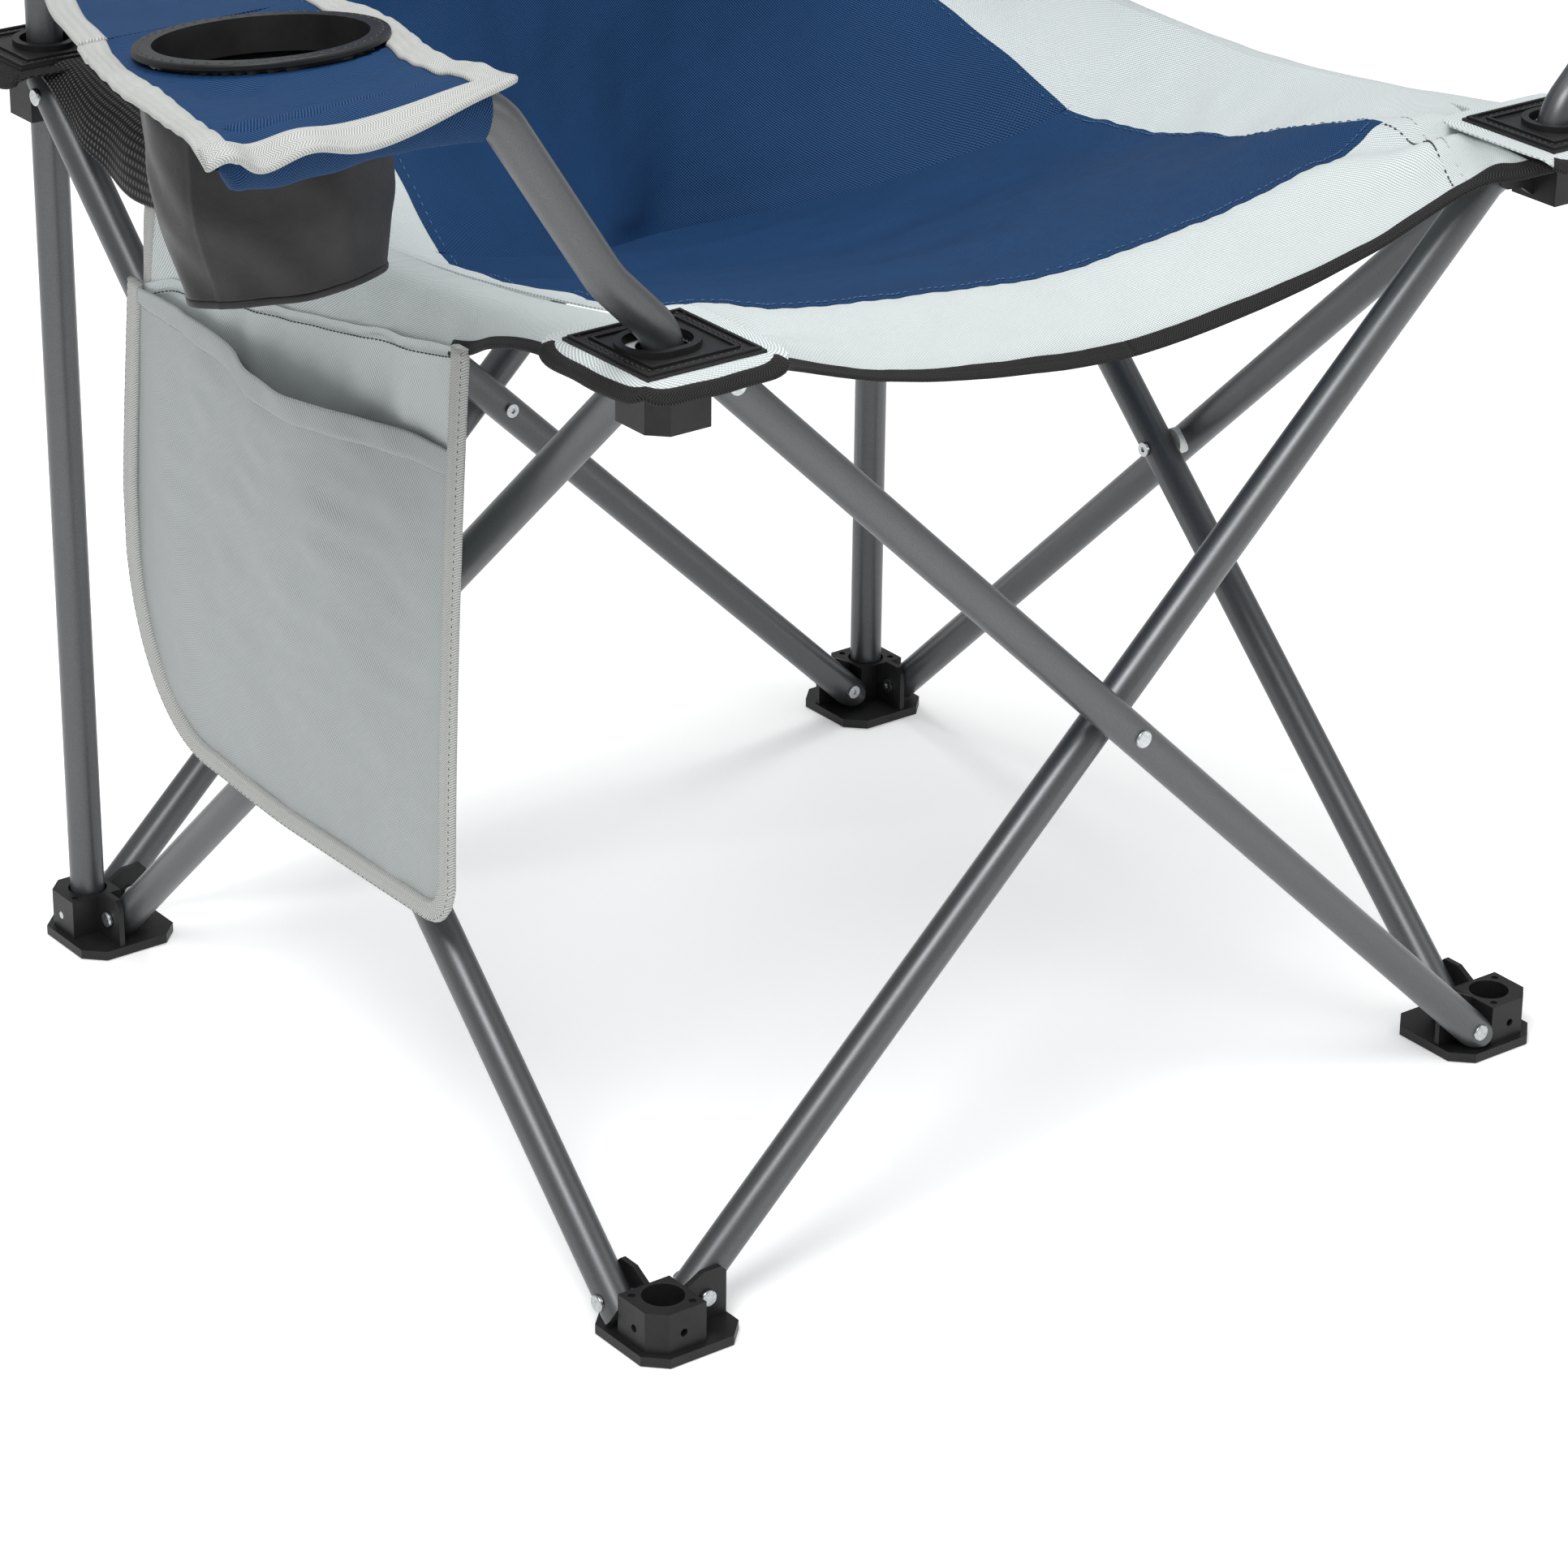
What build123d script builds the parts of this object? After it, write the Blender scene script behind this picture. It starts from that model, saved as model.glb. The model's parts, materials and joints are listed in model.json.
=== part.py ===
from build123d import *
import math
import os

# Folding camp chair: four crossed tube pairs between moulded feet and corner brackets, two rear
# uprights, two bent arm tubes and a fabric sling. Millimetres. The origin is on the floor at the
# middle of the base, +Z is up and the chair faces -Y. Left is -X, the side that holds the cup.

# ---- Driving dimensions ----
TUBE_D = 18.0
TUBE_WALL = 1.2
LINK = 657.0            # from rivet to rivet along a cross tube
OPEN_ANGLE = 43.8       # degrees between an open cross tube and the floor
INSET = 24.0            # from a corner's axis to its rivets
RIVET_Z = 17.0          # lower rivets above the floor
WEB = 3.0               # moulded web between the two tube planes
GAP = 0.3               # running gap beside a web
TIP = 10.5              # rounded tube end beyond its rivet
SHANK_R = 2.5
RUN = 0.05              # running clearance round a rivet shank
LOOSE = 0.35            # clearance in the five loop-closing pivots
HEAD_R = 4.4
HEAD_T = 1.8
UPRIGHT_TOP = 930.0
ARM_BAR_Z = 613.0
ARM_BAR_END = 462.0     # outer end of the arm bar from the middle of the chair
ARM_SLOPE = 0.12        # fall of the armrest towards the back
CLOTH = 3.0             # thickness of a soft solid

# ---- Derived dimensions ----
TUBE_R = TUBE_D / 2
BORE_R = TUBE_R - TUBE_WALL
ANGLE = math.radians(OPEN_ANGLE)
HALF = LINK * math.cos(ANGLE) / 2 + INSET
TOP_Z = RIVET_Z + LINK * math.sin(ANGLE)
SHIFT = TUBE_R + WEB / 2 + GAP          # tube centre line to web mid plane

# ---- Moulding dimensions ----
BLOCK_OUT = 16.5        # socket block, from the corner axis outwards
BLOCK_IN = 12.7         # and inwards
BLOCK_CUT = 8.0
PLATE_OUT = 20.0
PLATE_IN = 36.0
PLATE_CUT = 10.0
PLATE_T = 5.0
SOCKET_R = 10.2
PIN_R = 2.0
PIN_Z = 14.0
COLLAR_R = TUBE_R + GAP
GRIP_R = TUBE_R + RUN   # bracket socket that holds an arm tube
FLANGE_T = 2.5
BLOCK_RISE = 11.5       # bracket block above its rivets, clear of the rounded tube ends
BLOCK_DROP = 17.0       # and below them
SOCKET_DROP = 13.7      # floor of the socket that holds an arm tube
TAB_Z = TOP_Z + BLOCK_RISE + FLANGE_T + 0.3     # fabric corner under its patch
TAB_T = 1.8
PATCH_Z = TAB_Z + TAB_T
PATCH_SIZE = 62.0

# Corner name, its turn about Z, and its axis. In a corner's own frame +X and +Y point inwards.
CORNERS = {
    "front_left": (0, -HALF, -HALF),
    "front_right": (90, HALF, -HALF),
    "rear_right": (180, HALF, HALF),
    "rear_left": (270, -HALF, HALF),
}
REACH = HALF - INSET
# Cross tube name, heading of its rise, and the x and y of its lower rivet on the tube's centre line.
TUBES = {
    "left_inner": (-90, -HALF + SHIFT, REACH),
    "left_outer": (90, -HALF - SHIFT, -REACH),
    "back_outer": (0, -REACH, HALF + SHIFT),
    "back_inner": (180, REACH, HALF - SHIFT),
    "right_outer": (-90, HALF + SHIFT, REACH),
    "right_inner": (90, HALF - SHIFT, -REACH),
    "front_outer": (180, REACH, -HALF - SHIFT),
    "front_inner": (0, -REACH, -HALF + SHIFT),
}


def save(name, shape):
    """Write one node, as one solid or as a group of solids."""
    solids = shape.solids()
    body = solids[0] if len(solids) == 1 else Compound(children=list(solids))
    export_step(body, f"parts/{name}.step")


def tube_location(name):
    """Frame of a cross tube: X from the lower to the upper rivet, Y along its rivets."""
    heading, x, y = TUBES[name]
    return Pos(x, y, RIVET_Z) * Rot(0, 0, heading) * Rot(0, -OPEN_ANGLE, 0)


def corner_location(name, z=0.0):
    turn, x, y = CORNERS[name]
    return Pos(x, y, z) * Rot(0, 0, turn)


def across(x, y0, y1, radius):
    """Cylinder along Y between y0 and y1, at x."""
    return Pos(x, (y0 + y1) / 2, 0) * Rot(90, 0, 0) * Cylinder(radius, abs(y1 - y0))


def upright_bar(x, y, z0, z1, radius):
    return Pos(x, y, (z0 + z1) / 2) * Cylinder(radius, z1 - z0)


# ---- Cross tubes, rivets and spacers ----
def round_ended(radius, tip):
    """Rod along X whose ends are rounded about the rivets."""
    rod = Pos(LINK / 2, 0, 0) * Rot(0, 90, 0) * Cylinder(radius, LINK)
    for x in (0, LINK):
        end = Pos(x, 0, 0) * Rot(0, 90, 0) * Cylinder(radius, 2 * tip)
        rod += end & across(x, -radius, radius, tip)
    return rod


def cross_tube():
    tube = round_ended(TUBE_R, TIP) - round_ended(BORE_R, TIP - TUBE_WALL)
    for x in (0, LINK / 2, LINK):
        tube -= across(x, -TUBE_D, TUBE_D, SHANK_R + RUN)
    return tube


def domed_head(x, y, side):
    """Low domed head whose flat face is at y, standing out towards side."""
    disc = across(x, y, y + side * HEAD_T, HEAD_R)
    rim = disc.edges().filter_by(GeomType.CIRCLE).sort_by(Axis.Y)[-1 if side > 0 else 0]
    return fillet(rim, HEAD_T * 0.55)


def rolled_tail(x, y, side):
    """Rolled rivet tail: a ring with a dimple."""
    disc = across(x, y, y + side * HEAD_T * 0.8, HEAD_R * 0.86)
    return disc - across(x, y + side * HEAD_T * 0.3, y + side * HEAD_T, SHANK_R * 0.6)


SEAT = 0.4              # how far a head is drawn into the round of its tube


def end_rivet(x, outer):
    near = TUBE_R - SEAT
    far = -SHIFT - WEB / 2 - GAP
    shank = across(x, near, far, SHANK_R)
    if outer:
        return shank + domed_head(x, near, 1) + rolled_tail(x, far, -1)
    return shank + rolled_tail(x, near, 1) + domed_head(x, far, -1)


def middle_rivet():
    near = TUBE_R - SEAT
    far = -2 * SHIFT - TUBE_R - GAP
    shank = across(LINK / 2, near, far, SHANK_R)
    return shank + domed_head(LINK / 2, near, 1) + rolled_tail(LINK / 2, far, -1)


def spacer():
    """Nylon washer between two crossing tubes, saddled on the outer one."""
    ring = across(LINK / 2, -SHIFT - WEB / 2, -TUBE_R * 0.6, TUBE_R * 0.8)
    ring -= across(LINK / 2, -TUBE_D - SHIFT, 0, SHANK_R + RUN)
    return ring - Pos(LINK / 2, 0, 0) * Rot(0, 90, 0) * Cylinder(TUBE_R, TUBE_D * 2)


for name in TUBES:
    place = tube_location(name)
    outer = name.endswith("outer")
    rivets = [place * end_rivet(x, outer) for x in (0, LINK)]
    if outer:
        rivets.append(place * middle_rivet())
        save(f"spacer_{name.split('_')[0]}", place * spacer())
    save(f"tube_{name}", place * cross_tube())
    save(f"rivets_{name}", Compound(children=rivets))


# ---- Feet, collars and brackets ----
def chamfered_square(low, high, cut, z0, z1):
    mid = (low + high) / 2
    block = Pos(mid, mid, (z0 + z1) / 2) * Box(high - low, high - low, z1 - z0)
    return chamfer(block.edges().filter_by(Axis.Z), cut)


def socket_block(z0, z1):
    """Square block with its outermost upright edge cut off."""
    mid = (BLOCK_IN - BLOCK_OUT) / 2
    side = BLOCK_IN + BLOCK_OUT
    block = Pos(mid, mid, (z0 + z1) / 2) * Box(side, side, z1 - z0)
    outer_edge = block.edges().filter_by(Axis.Z).sort_by(Axis((0, 0, 0), (1, 1, 0)))[0]
    return chamfer(outer_edge, BLOCK_CUT)


def web(outline, hole_z, hole_r, along_y):
    """Upright web in a corner plane, with its rivet hole. LOOSE holes close the linkage's loops."""
    plate = extrude(Plane.XZ * make_face(Polyline(*outline, close=True)), WEB / 2, both=True)
    plate -= Pos(0, 0, hole_z) * across(INSET, -WEB, WEB, hole_r)
    return mirror(plate, Plane(origin=(0, 0, 0), z_dir=(1, -1, 0))) if along_y else plate


FOOT_WEB = [(0, 0), (PLATE_IN - 1, 0), (PLATE_IN - 1, 28), (PLATE_IN - 4, 31), (22, 31), (BLOCK_IN, 26), (0, 26)]
BRACKET_WEB = [(0, -15), (BLOCK_IN, -15), (20, -10), (30, -9), (35, -4), (35, BLOCK_RISE), (0, BLOCK_RISE)]


def hole_radius(loose):
    return SHANK_R + (LOOSE if loose else RUN)


def foot(loose_inner):
    """Moulded foot. Its X web carries an inner tube and its Y web an outer tube."""
    body = chamfered_square(-PLATE_OUT, PLATE_IN, PLATE_CUT, 0, PLATE_T)
    body += socket_block(0, 26)
    body += web(FOOT_WEB, RIVET_Z, hole_radius(loose_inner), False)
    body += web(FOOT_WEB, RIVET_Z, hole_radius(False), True)
    body -= upright_bar(0, 0, PLATE_T, 40, SOCKET_R)
    for turn in (0, -90):
        body -= Rot(0, 0, turn) * Pos(0, 0, PIN_Z) * across(0, -BLOCK_OUT - 1, 0, PIN_R)
    for x, y in ((-12.0, 8.0), (8.0, -12.0)):
        body -= upright_bar(x, y, 25, 27, 1.8)
    return body


def bracket(loose_outer, loose_inner, bore_r, floor_z):
    """Corner bracket about its rivet height. Its X web carries an outer tube."""
    body = socket_block(-BLOCK_DROP, BLOCK_RISE)
    body += chamfered_square(-18, 30, 7, BLOCK_RISE, BLOCK_RISE + FLANGE_T)
    body += web(BRACKET_WEB, 0, hole_radius(loose_outer), False)
    body += web(BRACKET_WEB, 0, hole_radius(loose_inner), True)
    return body - upright_bar(0, 0, floor_z, 40, bore_r)


def front_bracket(loose_outer):
    """Bracket with a blind socket for an arm tube, opened at the top where the tube starts to lean."""
    body = bracket(loose_outer, False, GRIP_R, -SOCKET_DROP)
    return body - upright_bar(0, 0, BLOCK_RISE - 2, 40, TUBE_R + 3)


for name in CORNERS:
    save(f"foot_{name}", corner_location(name) * foot(name == "front_right"))
for name in ("front_left", "front_right"):
    save(f"bracket_{name}", corner_location(name, TOP_Z) * front_bracket(True))
save("collar_rear_left", corner_location("rear_left", TOP_Z) * bracket(True, False, COLLAR_R, -20))
save("collar_rear_right", corner_location("rear_right", TOP_Z) * bracket(False, True, COLLAR_R, -20))


# ---- Rear uprights ----
def upright():
    tube = upright_bar(0, 0, PLATE_T, UPRIGHT_TOP, TUBE_R) - upright_bar(0, 0, 0, UPRIGHT_TOP, BORE_R)
    return tube - Pos(0, 0, PIN_Z) * across(0, -TUBE_D, TUBE_D, PIN_R)


def upright_cap():
    cap = upright_bar(0, 0, UPRIGHT_TOP, UPRIGHT_TOP + 4, TUBE_R)
    cap = fillet(cap.edges().sort_by(Axis.Z)[-1], 2.5)
    return cap + upright_bar(0, 0, UPRIGHT_TOP - 14, UPRIGHT_TOP, BORE_R - RUN)


def back_sleeve():
    """Fabric pocket of the backrest that is pulled down over an upright."""
    outer = upright_bar(0, 0, UPRIGHT_TOP - 150, UPRIGHT_TOP + 7, TUBE_R + 3)
    return outer - upright_bar(0, 0, UPRIGHT_TOP - 160, UPRIGHT_TOP + 4.5, TUBE_R + 0.5)


for side in ("left", "right"):
    place = corner_location(f"rear_{side}")
    save(f"upright_{side}", place * upright())
    save(f"upright_cap_{side}", place * upright_cap())
    save(f"upright_pin_{side}", place * Pos(0, 0, PIN_Z) * across(0, -BLOCK_OUT, TUBE_R, PIN_R - RUN))
    save(f"back_sleeve_{side}", place * back_sleeve())


# ---- Arm tubes ----
def arm_route(z0):
    """Centre line of the left arm tube: up out of its bracket, outwards, steeper, then level."""
    points = [(-HALF, z0), (-HALF, 494), (-291, 524), (-349.5, ARM_BAR_Z), (-ARM_BAR_END, ARM_BAR_Z)]
    return Plane.XZ * FilletPolyline(*points, radius=[27, 60, 32])


def arm_tube():
    start = TOP_Z - SOCKET_DROP
    route = arm_route(start)
    section = Pos(-HALF, 0, start) * (Circle(TUBE_R) - Circle(BORE_R))
    return Pos(0, -HALF, 0) * sweep(section, path=route)


def arm_plug():
    head = Pos(-ARM_BAR_END - 1.5, -HALF, ARM_BAR_Z) * Rot(0, 90, 0) * Cylinder(TUBE_R, 3)
    spigot = Pos(-ARM_BAR_END + 6, -HALF, ARM_BAR_Z) * Rot(0, 90, 0) * Cylinder(BORE_R - RUN, 12)
    return head + spigot


def both_sides(name, left_shape):
    save(f"{name}_left", left_shape)
    save(f"{name}_right", mirror(left_shape, Plane.YZ))


both_sides("arm_tube", arm_tube())
both_sides("arm_plug", arm_plug())


# ---- Corner patches and the fabric corners under them ----
def slot_cutter(reach, radius, z0, z1):
    """Round hole, lengthened towards -X for an arm tube that leans out."""
    cutter = upright_bar(0, 0, z0, z1, radius)
    if reach:
        cutter += upright_bar(-reach, 0, z0, z1, radius)
        cutter += Pos(-reach / 2, 0, (z0 + z1) / 2) * Box(reach, 2 * radius, z1 - z0)
    return cutter


def corner_patch(reach):
    """Moulded square patch: stepped frames round a raised collar."""
    body = Pos(0, 0, 1) * Box(PATCH_SIZE, PATCH_SIZE, 2)
    for size in (PATCH_SIZE - 3, PATCH_SIZE - 16):
        frame = Box(size, size, 1.2) - Box(size - 3, size - 3, 1.2)
        body += Pos(0, 0, 2.6) * frame
    body += slot_cutter(reach, 16, 0, 5)
    return body - slot_cutter(reach, 12.5, -1, 6)


def fabric_corner(reach):
    tab = Pos(0, 0, TAB_T / 2) * Box(78, 78, TAB_T)
    return tab - slot_cutter(reach, 12.5, -1, 3)


ARM_LEAN = 7.0          # extra length of a front patch's hole
for name, (turn, x, y) in CORNERS.items():
    reach = ARM_LEAN if name.startswith("front") else 0.0
    outwards = Rot(0, 0, 0) if x < 0 else Rot(0, 0, 180)
    save(f"patch_{name}", Pos(x, y, PATCH_Z) * outwards * corner_patch(reach))
    save(f"seat_corner_{name}", Pos(x, y, TAB_Z) * outwards * fabric_corner(reach))


# ---- Seat and back sling ----
# Each row goes across the sling: the point at its side (|x|, y, z), then its middle (y, z).
SEAT_ROWS = [
    ((214, -254, 470), (-254, 428)),
    ((226, -190, 474), (-190, 445)),
    ((238, -55, 469), (-55, 417)),
    ((240, 30, 467), (100, 385)),
]
BACK_ROWS = [
    ((240, 36, 473), (106, 393)),
    ((240, 130, 474), (122, 438)),
    ((236, 188, 487), (141, 485)),
    ((242, 234, 545), (166, 555)),
    ((247, 250, 640), (200, 650)),
    ((247, 252, 770), (232, 770)),
    ((247, 252, 925), (252, 915)),
]


def row_point(row, share):
    """Point of a sagging row at a share from -1, left, to 1, right."""
    (side_x, side_y, side_z), (mid_y, mid_z) = row
    rise = share * share
    return Vector(share * side_x, mid_y + (side_y - mid_y) * rise, mid_z + (side_z - mid_z) * rise)


def grid_normal(grid, i, j):
    ahead = grid[min(i + 1, len(grid) - 1)][j] - grid[max(i - 1, 0)][j]
    beside = grid[i][min(j + 1, len(grid[0]) - 1)] - grid[i][max(j - 1, 0)]
    return beside.cross(ahead).normalized()


def ribbon(line_a, line_b):
    """Triangles between two lines of points."""
    faces = []
    for k in range(len(line_a) - 1):
        for corners in ((line_a[k], line_a[k + 1], line_b[k]), (line_a[k + 1], line_b[k + 1], line_b[k])):
            faces.append(Face(Wire.make_polygon(corners)))
    return faces


def cloth_solid(rows, shares):
    """Closed sheet of cloth through the rows, CLOTH thick."""
    grid = [[row_point(row, share) for share in shares] for row in rows]
    top, low = [], []
    for i, line in enumerate(grid):
        top.append([p + grid_normal(grid, i, j) * (CLOTH / 2) for j, p in enumerate(line)])
        low.append([p - grid_normal(grid, i, j) * (CLOTH / 2) for j, p in enumerate(line)])
    faces = []
    for layer in (top, low):
        for i in range(len(rows) - 1):
            faces += ribbon(layer[i], layer[i + 1])
    faces += ribbon(top[0], low[0]) + ribbon(top[-1], low[-1])
    for j in (0, len(shares) - 1):
        faces += ribbon([line[j] for line in top], [line[j] for line in low])
    return Solid(Shell(faces))


STEPS = 5
SEAM_SHARE = 0.7        # where a pale side panel of the back is sewn to the blue middle
HALF_SHARES = [-1 + 0.997 * k / STEPS for k in range(STEPS + 1)]
SIDE_SHARES = [-1 + (0.997 - SEAM_SHARE) * k / 2 for k in range(3)]
MIDDLE_SHARES = [SEAM_SHARE * (k / STEPS - 1) for k in range(2 * STEPS + 1)]
both_sides("seat_panel", cloth_solid(SEAT_ROWS, HALF_SHARES))
both_sides("back_side", cloth_solid(BACK_ROWS, SIDE_SHARES))
save("back_middle", cloth_solid(BACK_ROWS, MIDDLE_SHARES))


# ---- Armrests ----
ARM_SPLIT = -75.0       # y where the stiff front of an armrest meets its loose strap
ARM_TOP_Z = ARM_BAR_Z + TUBE_R + 3.5    # middle of the cloth over the bar
CUP_X = -384.0
CUP_Y = -146.0
RING_R = 54.0
RING_BORE = 45.5
NECK_R = 48.5
FRONT_OUTLINE = [(-349, -286), (-490, -286), (-455, -137), (-430, ARM_SPLIT), (-305, ARM_SPLIT)]
STRAP_OUTLINE = [(-305, ARM_SPLIT + 1), (-429.5, ARM_SPLIT + 1), (-396, 6), (-303, 243), (-258, 243)]


def arm_z(y):
    return ARM_TOP_Z - ARM_SLOPE * (y + HALF)


def sloped_sheet(outline):
    """Flat cloth of an armrest, falling towards the back."""
    points = [(x, y, arm_z(y) - CLOTH / 2) for x, y in outline]
    return extrude(Face(Wire.make_polygon(points)), CLOTH, dir=(0, 0, 1))


def ring_frame():
    return Pos(CUP_X, CUP_Y, arm_z(CUP_Y)) * Rot(-math.degrees(math.atan(ARM_SLOPE)), 0, 0)


def arm_front():
    """Front of an armrest with the sleeve that is pulled over the arm bar."""
    sleeve = Rot(0, 90, 0) * (Cylinder(TUBE_R + 3, 108) - Cylinder(TUBE_R + 0.5, 108))
    return sloped_sheet(FRONT_OUTLINE) + Pos(-416, -HALF, ARM_BAR_Z) * sleeve


def cup_ring():
    """Stitched flange with a short neck."""
    flange = Pos(0, 0, CLOTH / 2 + 1.7) * Cylinder(RING_R, 2.6)
    flange = fillet(flange.edges().sort_by(Axis.Z)[-1], 1.2)
    neck = Pos(0, 0, -4) * Cylinder(NECK_R, 14)
    return flange + neck - Cylinder(RING_BORE, 40)


def cup_pouch():
    """Tapered cloth cup hung under the ring."""
    outer = Pos(0, 0, -61.2) * Cone(44, NECK_R + 1.8, 100)
    inner = Pos(0, 0, -59.4) * Cone(42.2, NECK_R, 100.8)
    return outer - inner


stiff_front = arm_front()
save("armrest_front_right", mirror(stiff_front, Plane.YZ))
save("armrest_front_left", stiff_front - ring_frame() * Cylinder(NECK_R + 0.4, 20))
both_sides("armrest_strap", sloped_sheet(STRAP_OUTLINE))
save("cup_ring", ring_frame() * cup_ring())
save("cup_pouch", ring_frame() * cup_pouch())

# ---- Side pocket ----
POCKET_Y = (-125.0, 155.0)
POCKET_Z = (180.0, 450.0)
POCKET_MOUTH = 395.0
POCKET_X = (-303.0, -286.0)
POCKET_WALL = 1.6
POCKET_CORNER = 60.0


def pocket_block(x0, x1, margin, top):
    """Upright slab in the pocket's outline, drawn in by a margin, with its low rear corner rounded."""
    y0, y1 = POCKET_Y[0] + margin, POCKET_Y[1] - margin
    z0 = POCKET_Z[0] + margin
    slab = Pos((x0 + x1) / 2, (y0 + y1) / 2, (z0 + top) / 2) * Box(x1 - x0, y1 - y0, top - z0)
    low_rear = slab.edges().filter_by(Axis.X).sort_by(Axis((0, 0, 0), (0, -1, 1)))[0]
    return fillet(low_rear, POCKET_CORNER - margin)


def side_pocket():
    x0, x1 = POCKET_X
    bag = pocket_block(x0, x1, 0, POCKET_Z[1])
    bag -= pocket_block(x0 + POCKET_WALL, x1 - POCKET_WALL, POCKET_WALL, POCKET_Z[1] + 5)
    mouth = Pos(x0, 0, (POCKET_MOUTH + POCKET_Z[1] + 9) / 2)
    mouth *= Box(2 * (x1 - x0 - POCKET_WALL), 700, POCKET_Z[1] + 9 - POCKET_MOUTH)
    return bag - mouth


save("side_pocket", side_pocket())
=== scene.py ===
"""Looks of the folding camp chair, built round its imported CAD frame. Metres; the chair faces -Y."""
import json
import math
import random

import bmesh
import bpy
import numpy as np
from mathutils import Matrix, Vector


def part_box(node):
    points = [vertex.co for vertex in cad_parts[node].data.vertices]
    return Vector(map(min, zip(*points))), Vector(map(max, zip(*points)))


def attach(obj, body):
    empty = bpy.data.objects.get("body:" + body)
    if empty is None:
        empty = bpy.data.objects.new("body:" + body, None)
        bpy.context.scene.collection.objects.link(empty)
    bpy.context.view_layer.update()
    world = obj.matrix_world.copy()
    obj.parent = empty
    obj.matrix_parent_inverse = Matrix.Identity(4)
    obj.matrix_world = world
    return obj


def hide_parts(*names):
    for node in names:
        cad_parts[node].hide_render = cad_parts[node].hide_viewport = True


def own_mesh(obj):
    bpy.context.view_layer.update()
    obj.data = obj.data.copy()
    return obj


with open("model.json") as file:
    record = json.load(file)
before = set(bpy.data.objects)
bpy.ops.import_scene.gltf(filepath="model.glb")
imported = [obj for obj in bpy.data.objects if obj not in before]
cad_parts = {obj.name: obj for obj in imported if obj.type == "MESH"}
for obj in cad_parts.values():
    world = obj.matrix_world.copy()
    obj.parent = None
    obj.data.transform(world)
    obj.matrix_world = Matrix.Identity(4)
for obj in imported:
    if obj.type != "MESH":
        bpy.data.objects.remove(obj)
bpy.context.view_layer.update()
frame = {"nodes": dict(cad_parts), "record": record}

MM = 0.001
LEFT, RIGHT = -1, 1
SIDE_NAMES = {LEFT: "left", RIGHT: "right"}
FRONT, REAR = -1, 1

# ---- Places read from the frame ----
post_low, post_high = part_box("upright_right")
HALF = (post_low.x + post_high.x) / 2           # corner axes stand at +-HALF in x and y
TUBE_R = (post_high.x - post_low.x) / 2
TAB_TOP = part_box("seat_corner_front_left")[1].z
POCKET_LOW, POCKET_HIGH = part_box("side_pocket")
RING_LOW, RING_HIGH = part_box("cup_ring")
BAR_Z = sum(corner.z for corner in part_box("arm_plug_left")) / 2
BAR_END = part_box("arm_plug_right")[1].x

CLOTH = 0.9 * MM
THIN_CLOTH = 0.8 * MM
BINDING = 2.4 * MM                              # thickness of the tape that most edges are bound with


# ---- Materials ----
class Finish:
    """A material, and the nodes that feed its shader."""

    def __init__(self, name):
        self.material = bpy.data.materials.new(name)
        self.material.use_nodes = True
        self.tree = self.material.node_tree
        self.shader = self.tree.nodes["Principled BSDF"]

    def feed(self, socket, value):
        """Gives a socket a number, a colour or another node's output."""
        if isinstance(value, (int, float)):
            socket.default_value = value
        elif isinstance(value, tuple):
            socket.default_value = (*value, 1)
        else:
            self.tree.links.new(value, socket)

    def put(self, name, value):
        self.feed(self.shader.inputs[name], value)

    def coordinate(self, kind):
        return self.tree.nodes.new("ShaderNodeTexCoord").outputs[kind]

    def separate(self, vector):
        made = self.tree.nodes.new("ShaderNodeSeparateXYZ")
        self.feed(made.inputs[0], vector)
        return made.outputs[0], made.outputs[1]

    def calculate(self, operation, a, b=None):
        made = self.tree.nodes.new("ShaderNodeMath")
        made.operation = operation
        self.feed(made.inputs[0], a)
        if b is not None:
            self.feed(made.inputs[1], b)
        return made.outputs[0]

    def add(self, a, b):
        return self.calculate("ADD", a, b)

    def subtract(self, a, b):
        return self.calculate("SUBTRACT", a, b)

    def multiply(self, a, b):
        return self.calculate("MULTIPLY", a, b)

    def noise(self, vector, scale, detail=2.0, roughness=0.5):
        made = self.tree.nodes.new("ShaderNodeTexNoise")
        self.feed(made.inputs["Vector"], vector)
        self.feed(made.inputs["Scale"], scale)
        self.feed(made.inputs["Detail"], detail)
        self.feed(made.inputs["Roughness"], roughness)
        return made.outputs["Fac"]

    def wave(self, value, period):
        """A sine of a coordinate in metres, from 0 to 1."""
        sine = self.calculate("SINE", self.multiply(value, 2 * math.pi / period))
        return self.add(self.multiply(sine, 0.5), 0.5)

    def ramp(self, value, low, high, colour_low, colour_high):
        made = self.tree.nodes.new("ShaderNodeValToRGB")
        first, second = made.color_ramp.elements
        first.position, second.position = low, high
        first.color, second.color = (*colour_low, 1), (*colour_high, 1)
        self.feed(made.inputs["Fac"], value)
        return made.outputs["Color"]

    def grey_ramp(self, value, low, high, dark, light):
        return self.ramp(value, low, high, (dark,) * 3, (light,) * 3)

    def mix(self, share, a, b, blend="MIX"):
        made = self.tree.nodes.new("ShaderNodeMix")
        made.data_type, made.blend_type = "RGBA", blend
        for socket, value in ((0, share), (6, a), (7, b)):
            self.feed(made.inputs[socket], value)
        return made.outputs[2]

    def bump(self, height, distance, strength, under=None):
        made = self.tree.nodes.new("ShaderNodeBump")
        self.feed(made.inputs["Strength"], strength)
        self.feed(made.inputs["Distance"], distance)
        self.feed(made.inputs["Height"], height)
        if under is not None:
            self.feed(made.inputs["Normal"], under)
        self.put("Normal", made.outputs["Normal"])
        return made.outputs["Normal"]


TWILL_PERIOD = 1.45 * MM
TWILL_LEAN = 1.5


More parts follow.
